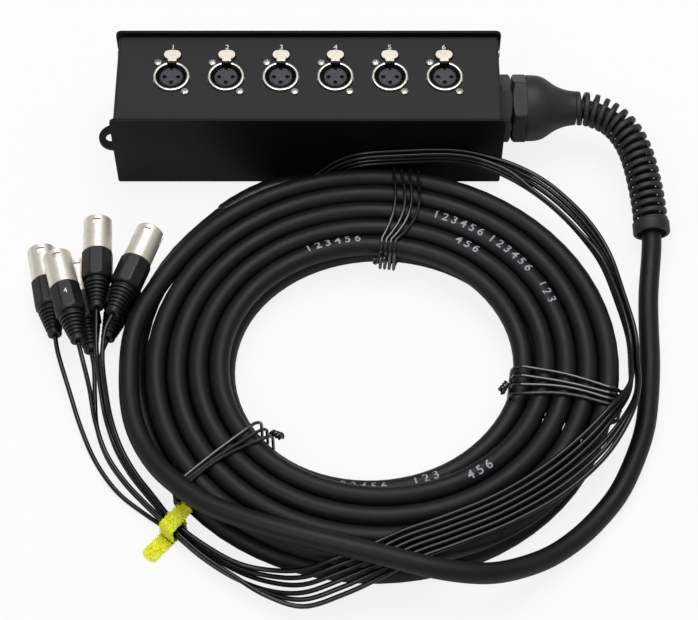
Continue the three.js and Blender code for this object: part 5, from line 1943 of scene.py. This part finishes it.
@dataclass
class TwistTie:
    """One thin tie wound round the coil's section, with twisted ends."""

    name: str
    node: str
    angle: float
    loops: int
    fan_in: float
    fan_out: float
    shift_in: float
    shift_out: float
    bow: float
    knot_along: float
    radius: float = 1.05
    clear: float = 0.2
    twist: float = 8.0
    twist_turns: float = 1.75
    gather: float = 2.0

    def build(self, cable: Multicore) -> Object:
        """Shows the tie.

        Args:
            cable: The cable whose coil it holds.

        Returns:
            The tie's object.
        """
        outward = Vector((math.cos(math.radians(self.angle)), math.sin(math.radians(self.angle)), 0))
        along = Vector((-outward.y, outward.x, 0))
        centre = Vector((*cable.centre, 0))
        reach_in, reach_out = self.section(cable)
        wrap = cable.radius + self.clear + self.radius
        points = []
        for k in range(self.loops * TIE_STEPS * 4):
            points.append(centre + self.loop_point(k, outward, along, (reach_in, reach_out), wrap, cable))
        form = tube(points, self.radius, 10, along)
        high = cable.base + cable.layer_rise - 1
        knot = centre + outward * (reach_in - wrap - 2 * self.radius) + along * self.shift_in + UP * high
        way = (outward * -0.35 + along * self.knot_along + UP * 0.1).normalized()
        across = way.cross(UP).normalized()
        rise = across.cross(way)
        steps = 40
        for half in (0, math.pi):
            strand = []
            for k in range(steps + 1):
                angle = half + FULL_TURN * self.twist_turns * k / steps
                ring = self.radius * (1.1 + 0.6 * k / steps)
                turned_side = across * math.cos(angle) + rise * math.sin(angle)
                strand.append(knot + way * (self.twist * k / steps) + turned_side * ring)
            form.add(tube(strand, self.radius, 10))
        return piece(self.name, form, TIE_PLASTIC, [self.node])

    def loop_point(self, k: int, outward: Vector, along: Vector, reaches: tuple[float, float], wrap: float,
                   cable: Multicore) -> Vector:
        """Returns one point of the winding, from the coil's centre.

        Args:
            k: The point's number.
            outward: Direction from the coil's centre to the tie.
            along: Direction along the strands.
            reaches: Least and largest radius of the strands.
            wrap: Distance from a strand's centre to the wire's centre.
            cable: The cable whose coil it holds.

        Returns:
            The point.
        """
        reach_in, reach_out = reaches
        top, low = cable.base + cable.layer_rise, cable.base
        loop, side, step = k // (4 * TIE_STEPS), (k // TIE_STEPS) % 4, k % TIE_STEPS
        share = step / TIE_STEPS
        flat_from = 0.3
        bend = min(share / flat_from, 1)
        run = max(share - flat_from, 0) / (1 - flat_from)
        reach_from, reach_to, z_from, z_to, start = (
            (reach_out, reach_in, top, top, 0), (reach_in, reach_in, top, low, 90),
            (reach_in, reach_out, low, low, 180), (reach_out, reach_out, low, top, 270),
        )[side]
        angle = math.radians(start + 90 * bend)
        reach = reach_from + (reach_to - reach_from) * run + wrap * math.cos(angle)
        height = z_from + (z_to - z_from) * run + wrap * math.sin(angle)
        inner = min(max((reach_out - reach) / (reach_out - reach_in), 0), 1)
        gathered = inner ** self.gather
        hidden = (0, 0, share / 2, 0.5 + share / 2)[side]
        lane = loop + hidden - (self.loops - 0.5) / 2
        fan = self.fan_out + (self.fan_in - self.fan_out) * gathered
        shift = self.shift_out + (self.shift_in - self.shift_out) * gathered
        wave = self.bow + 0.8 * math.sin(2.1 * loop + 0.5)
        loose = math.sin(math.pi * inner) * wave if side == 0 else 0.0
        return outward * reach + UP * height + along * (lane * fan + shift + loose)

    def section(self, cable: Multicore) -> tuple[float, float]:
        """Returns the least and largest radius of the coil at the tie.

        Args:
            cable: The cable whose coil it holds.

        Returns:
            The two radii, to the strands' centres.
        """
        reaches = []
        target = math.radians(self.angle)
        for k in range(cable.steps * 3):
            point = cable.coil_point(k / 3)
            x, y = point.x - cable.centre[0], point.y - cable.centre[1]
            off = (math.atan2(y, x) - target + math.pi) % FULL_TURN - math.pi
            if abs(off) < FULL_TURN / cable.steps_per_turn / 3:
                reaches.append(math.hypot(x, y))
        return min(reaches), max(reaches)


@dataclass
class TailStrap:
    """The yellow strap round the tails, with its loose flag."""

    x: float = -80.0
    y: float = -301.0
    heading: float = 139.6
    width: float = 10.6
    thickness: float = 1.1
    half_inner: float = 4.9
    inner_height: float = 13.3
    base: float = 0.3
    corner: float = 2.4
    flag: float = 19.0
    loops: int = 1500
    # Half width, twist and height of one loop of the pile, and the radius of its yarn.
    pile: tuple[float, float, float] = (0.45, 0.1, 0.75)
    yarn: float = 0.13

    def build(self) -> Object:
        """Shows the strap.

        Returns:
            The strap's object.
        """
        turn = Matrix.Rotation(math.radians(self.heading - 90), 4, "Z")
        place = Matrix.Translation((self.x, self.y, 0)) @ turn
        line, flats = self.route()
        rings = []
        spread = random.Random(4)
        for i, (point, way, flat) in enumerate(zip(line, headings(line), flats)):
            normal = (flat - way * flat.dot(way)).normalized()
            side = normal.cross(way)
            tip = min(1.0, 0.25 + 0.5 * math.sqrt(i))
            width = self.width * tip * (1 + 0.05 * math.sin(1.3 * i) + spread.uniform(-0.03, 0.03))
            thick = self.thickness * (1 + spread.uniform(-0.1, 0.15))
            outline = rounded_outline(width, thick, thick * 0.4, 3)
            rings.append([point + side * x + normal * y for x, y in outline])
        form = bridge(rings)
        form.add(ribbon(*self.tab_route(), self.width * 0.9, self.thickness))
        form = form.moved(place)
        strap = piece("tail_strap", form, STRAP_FABRIC, ["yellow_strap"])
        piece("tail_strap_fuzz", self.fuzz(line, flats, place), STRAP_FABRIC)
        return strap

    def route(self) -> tuple[list[Vector], list[Vector]]:
        """Returns the band's centre line, from the flag's end round the tails, and its flat directions."""
        half = self.half_inner + self.thickness / 2
        high = self.inner_height + self.thickness
        middle = self.base + self.thickness / 2 + high / 2
        points = [Vector((x, 0, z + middle)) for x, z in rounded_outline(2 * half, high, self.corner, 5)]
        start = min(range(len(points)), key=lambda i: (points[i].z, points[i].x))
        loop = list(reversed(points[start:] + points[:start + 1]))
        count = 16
        flag = []
        for k in range(count):
            share = 1 - k / count
            lift = 1.6 * math.sin(math.pi * share) * share
            x = -half - 1.5 - (self.flag - 1.5) * share
            flag.append(Vector((x, 0, self.base + self.thickness / 2 + lift)))
        line = spline_through([tuple(p) for p in [*flag, *loop]], 1.0)
        flats = [UP if p.x < -half - 1 else (p - Vector((0, 0, middle))).normalized() for p in line]
        return line, flats

    def tab_route(self) -> tuple[list[Vector], list[Vector]]:
        """Returns the short end that leans against the coil, and its flat directions."""
        half = self.half_inner + self.thickness
        top = self.base + self.inner_height + 2.4 * self.thickness
        line = spline_through([(-1, 0, top), (half * 0.6, 0, top + 0.3), (half + 3, 0, top - 0.4),
                               (half + 7, 0, top + 0.2)], 1.0)
        return line, [UP] * len(line)

    def fuzz(self, line: Sequence[Vector], flats: Sequence[Vector], place: Matrix) -> Mesh:
        """Returns the loose loops of the strap's pile.

        Args:
            line: The band's centre line.
            flats: Its flat directions.
            place: Matrix from the strap's own frame to the part's.

        Returns:
            One mesh with all the loops.
        """
        spread = random.Random(9)
        places, ways = [], []
        tab, tab_flats = self.tab_route()
        runs = [*zip(line, headings(line), flats), *zip(tab, headings(tab), tab_flats)]
        for _ in range(self.loops):
            point, way, flat = runs[spread.randrange(2, len(runs))]
            normal = (flat - way * flat.dot(way)).normalized()
            side = normal.cross(way)
            off = spread.uniform(-0.5, 0.5)
            places.append(place @ (point + side * off * self.width + normal * self.thickness * 0.45))
            lean = side * (off * 1.6 + spread.uniform(-0.5, 0.5)) + way * spread.uniform(-0.6, 0.6)
            ways.append((place.to_3x3() @ (normal + lean)).normalized())
        half, twist, height = self.pile
        arch = [Vector((half * math.cos(a), twist * math.sin(2 * a), height * math.sin(a)))
                for a in (math.pi * k / 8 for k in range(9))]
        loop = tube(arch, self.yarn, 4, Vector((0, 1, 0)))
        return set_on_points("tail_strap_fuzz", loop, places, ways, STRAP_FABRIC, 3)


# Stage


@dataclass
class Stage:
    """Floor, lamps and camera."""

    sky_light: float = 0.34
    floor_glow: float = 0.84
    aim: tuple[float, float, float] = (0.02, -0.15, 0.02)
    focal: float = 102.46
    elevation: float = 58.16
    place: tuple[float, float, float] = (0.0273, -0.8285, 1.1083)

    def floor(self) -> None:
        """Makes the pale floor, which turns white for the camera and keeps the shadow."""
        mesh = bpy.data.meshes.new("floor")
        reach = 12.0
        low = -0.0003
        corners = [(-reach, -reach, low), (reach, -reach, low), (reach, reach, low), (-reach, reach, low)]
        mesh.from_pydata(corners, [], [(0, 1, 2, 3)])
        material = bpy.data.materials.new("white_sweep")
        material.use_nodes = True
        tree = material.node_tree
        tree.nodes.clear()
        rays = add_node(tree, "ShaderNodeLightPath").outputs
        seen = add_node(tree, "ShaderNodeMath", {0: rays["Is Camera Ray"], 1: rays["Is Transmission Ray"]},
                        operation="MAXIMUM").outputs[0]
        matte = add_node(tree, "ShaderNodeBsdfDiffuse", {"Color": linear("f4f4f4")}).outputs[0]
        glow = add_node(tree, "ShaderNodeEmission", {"Color": (1, 1, 1, 1), "Strength": 1.0}).outputs[0]
        share = add_node(tree, "ShaderNodeMath", {0: seen, 1: self.floor_glow},
                         operation="MULTIPLY").outputs[0]
        mixed = add_node(tree, "ShaderNodeMixShader", {0: share, 1: matte, 2: glow}).outputs[0]
        add_node(tree, "ShaderNodeOutputMaterial", {"Surface": mixed})
        mesh.materials.append(material)
        floor = linked("floor", mesh)

    def world(self) -> None:
        """Makes the even surroundings."""
        world = bpy.data.worlds.new("studio")
        world.use_nodes = True
        tree = world.node_tree
        tree.nodes.clear()
        rays = add_node(tree, "ShaderNodeLightPath").outputs
        seen = add_node(tree, "ShaderNodeMath", {0: rays["Is Camera Ray"], 1: rays["Is Transmission Ray"]},
                        operation="MAXIMUM").outputs[0]
        strength = add_node(tree, "ShaderNodeMapRange", {
            "Value": seen, "To Min": self.sky_light, "To Max": 1.0,
        }).outputs[0]
        sky = add_node(tree, "ShaderNodeBackground",
                       {"Color": (1, 1, 1, 1), "Strength": strength}).outputs[0]
        add_node(tree, "ShaderNodeOutputWorld", {"Surface": sky})
        bpy.context.scene.world = world

    def lamp(self, name: str, place: tuple[float, float, float], size: float, energy: float) -> None:
        """Makes a soft lamp that faces the part.

        Args:
            name: The lamp's name.
            place: Where it hangs, in metres.
            size: Side of its square face, in metres.
            energy: Its power, in watts.
        """
        light = bpy.data.lights.new(name, "AREA")
        light.size = size
        light.energy = energy
        holder = linked(name, light)
        holder.location = place
        aim = Vector(self.aim) - Vector(place)
        holder.rotation_euler = aim.to_track_quat("-Z", "Y").to_euler()

    def camera(self) -> None:
        """Makes the camera at the photograph's viewing angle."""
        data = bpy.data.cameras.new("view")
        data.lens = self.focal
        data.sensor_width = 36.0
        data.clip_start = 0.05
        data.clip_end = 60.0
        holder = linked("view", data)
        holder.location = self.place
        holder.rotation_euler = (math.radians(90 - self.elevation), 0, 0)
        bpy.context.scene.camera = holder

    def build(self) -> None:
        """Sets the stage."""
        self.floor()
        self.world()
        self.lamp("overhead_box", (0.1, 0.25, 1.5), 1.1, 14.0)
        self.lamp("front_box", (-0.7, -1.1, 1.5), 0.6, 5.0)
        self.camera()
        bpy.context.scene.view_settings.view_transform = "Standard"


def main() -> None:
    """Builds the stage box snake, sub-assembly by sub-assembly."""
    logging.basicConfig(level=logging.INFO)
    Stage().build()
    sockets = [PanelSocket(number) for number in range(1, 7)]
    SteelBox().build(sockets)
    for unit in sockets:
        unit.build()
    piece("panel_screws", panel_screws(sockets), SCREW_STEEL)
    cable = Multicore()
    CableGland().build(cable)
    cord, sleeve = cable.build()
    JacketPrint().build(cable)
    ties = [
        TwistTie("rear_tie", "twist_tie_rear", angle=82.5, loops=4, fan_in=3.0, fan_out=5.4, shift_in=4.0,
                 shift_out=0.0, bow=-4.5, knot_along=0.8, gather=4.0).build(cable),
        TwistTie("right_tie", "twist_tie_right", angle=-7.5, loops=4, fan_in=6.4, fan_out=4.0,
                 shift_in=-4.0, shift_out=-9.0, bow=3.5, knot_along=-0.8).build(cable),
        TwistTie("left_tie", "twist_tie_left", angle=-142.8, loops=3, fan_in=6.0, fan_out=2.6,
                 shift_in=0.0, shift_out=0.0, bow=-2.0, knot_along=0.8).build(cable),
    ]
    plugs = [
        CablePlug(6, -112, -104.5, 10.9, -14.2, 180), CablePlug(1, -176.5, -101, 10.9, 12.2, 180),
        CablePlug(3, -137.4, -91.6, 31.2, 3, 135), CablePlug(5, -152, -113, 10.9, 12, 180),
        CablePlug(2, -102.3, -100.1, 32.8, -18.3, -135), CablePlug(4, -162.5, -118.5, 30.9, 16, 0),
    ]
    strap = TailStrap().build()
    tails = TailSet()
    ribs = boot_ribs()
    for index, plug in enumerate(plugs):
        tail = tails.build(index, plug)
        on_it = plug.build(ribs)
        if index == 0:
            on_it.append(strap)


if __name__ == "__main__":
    main()
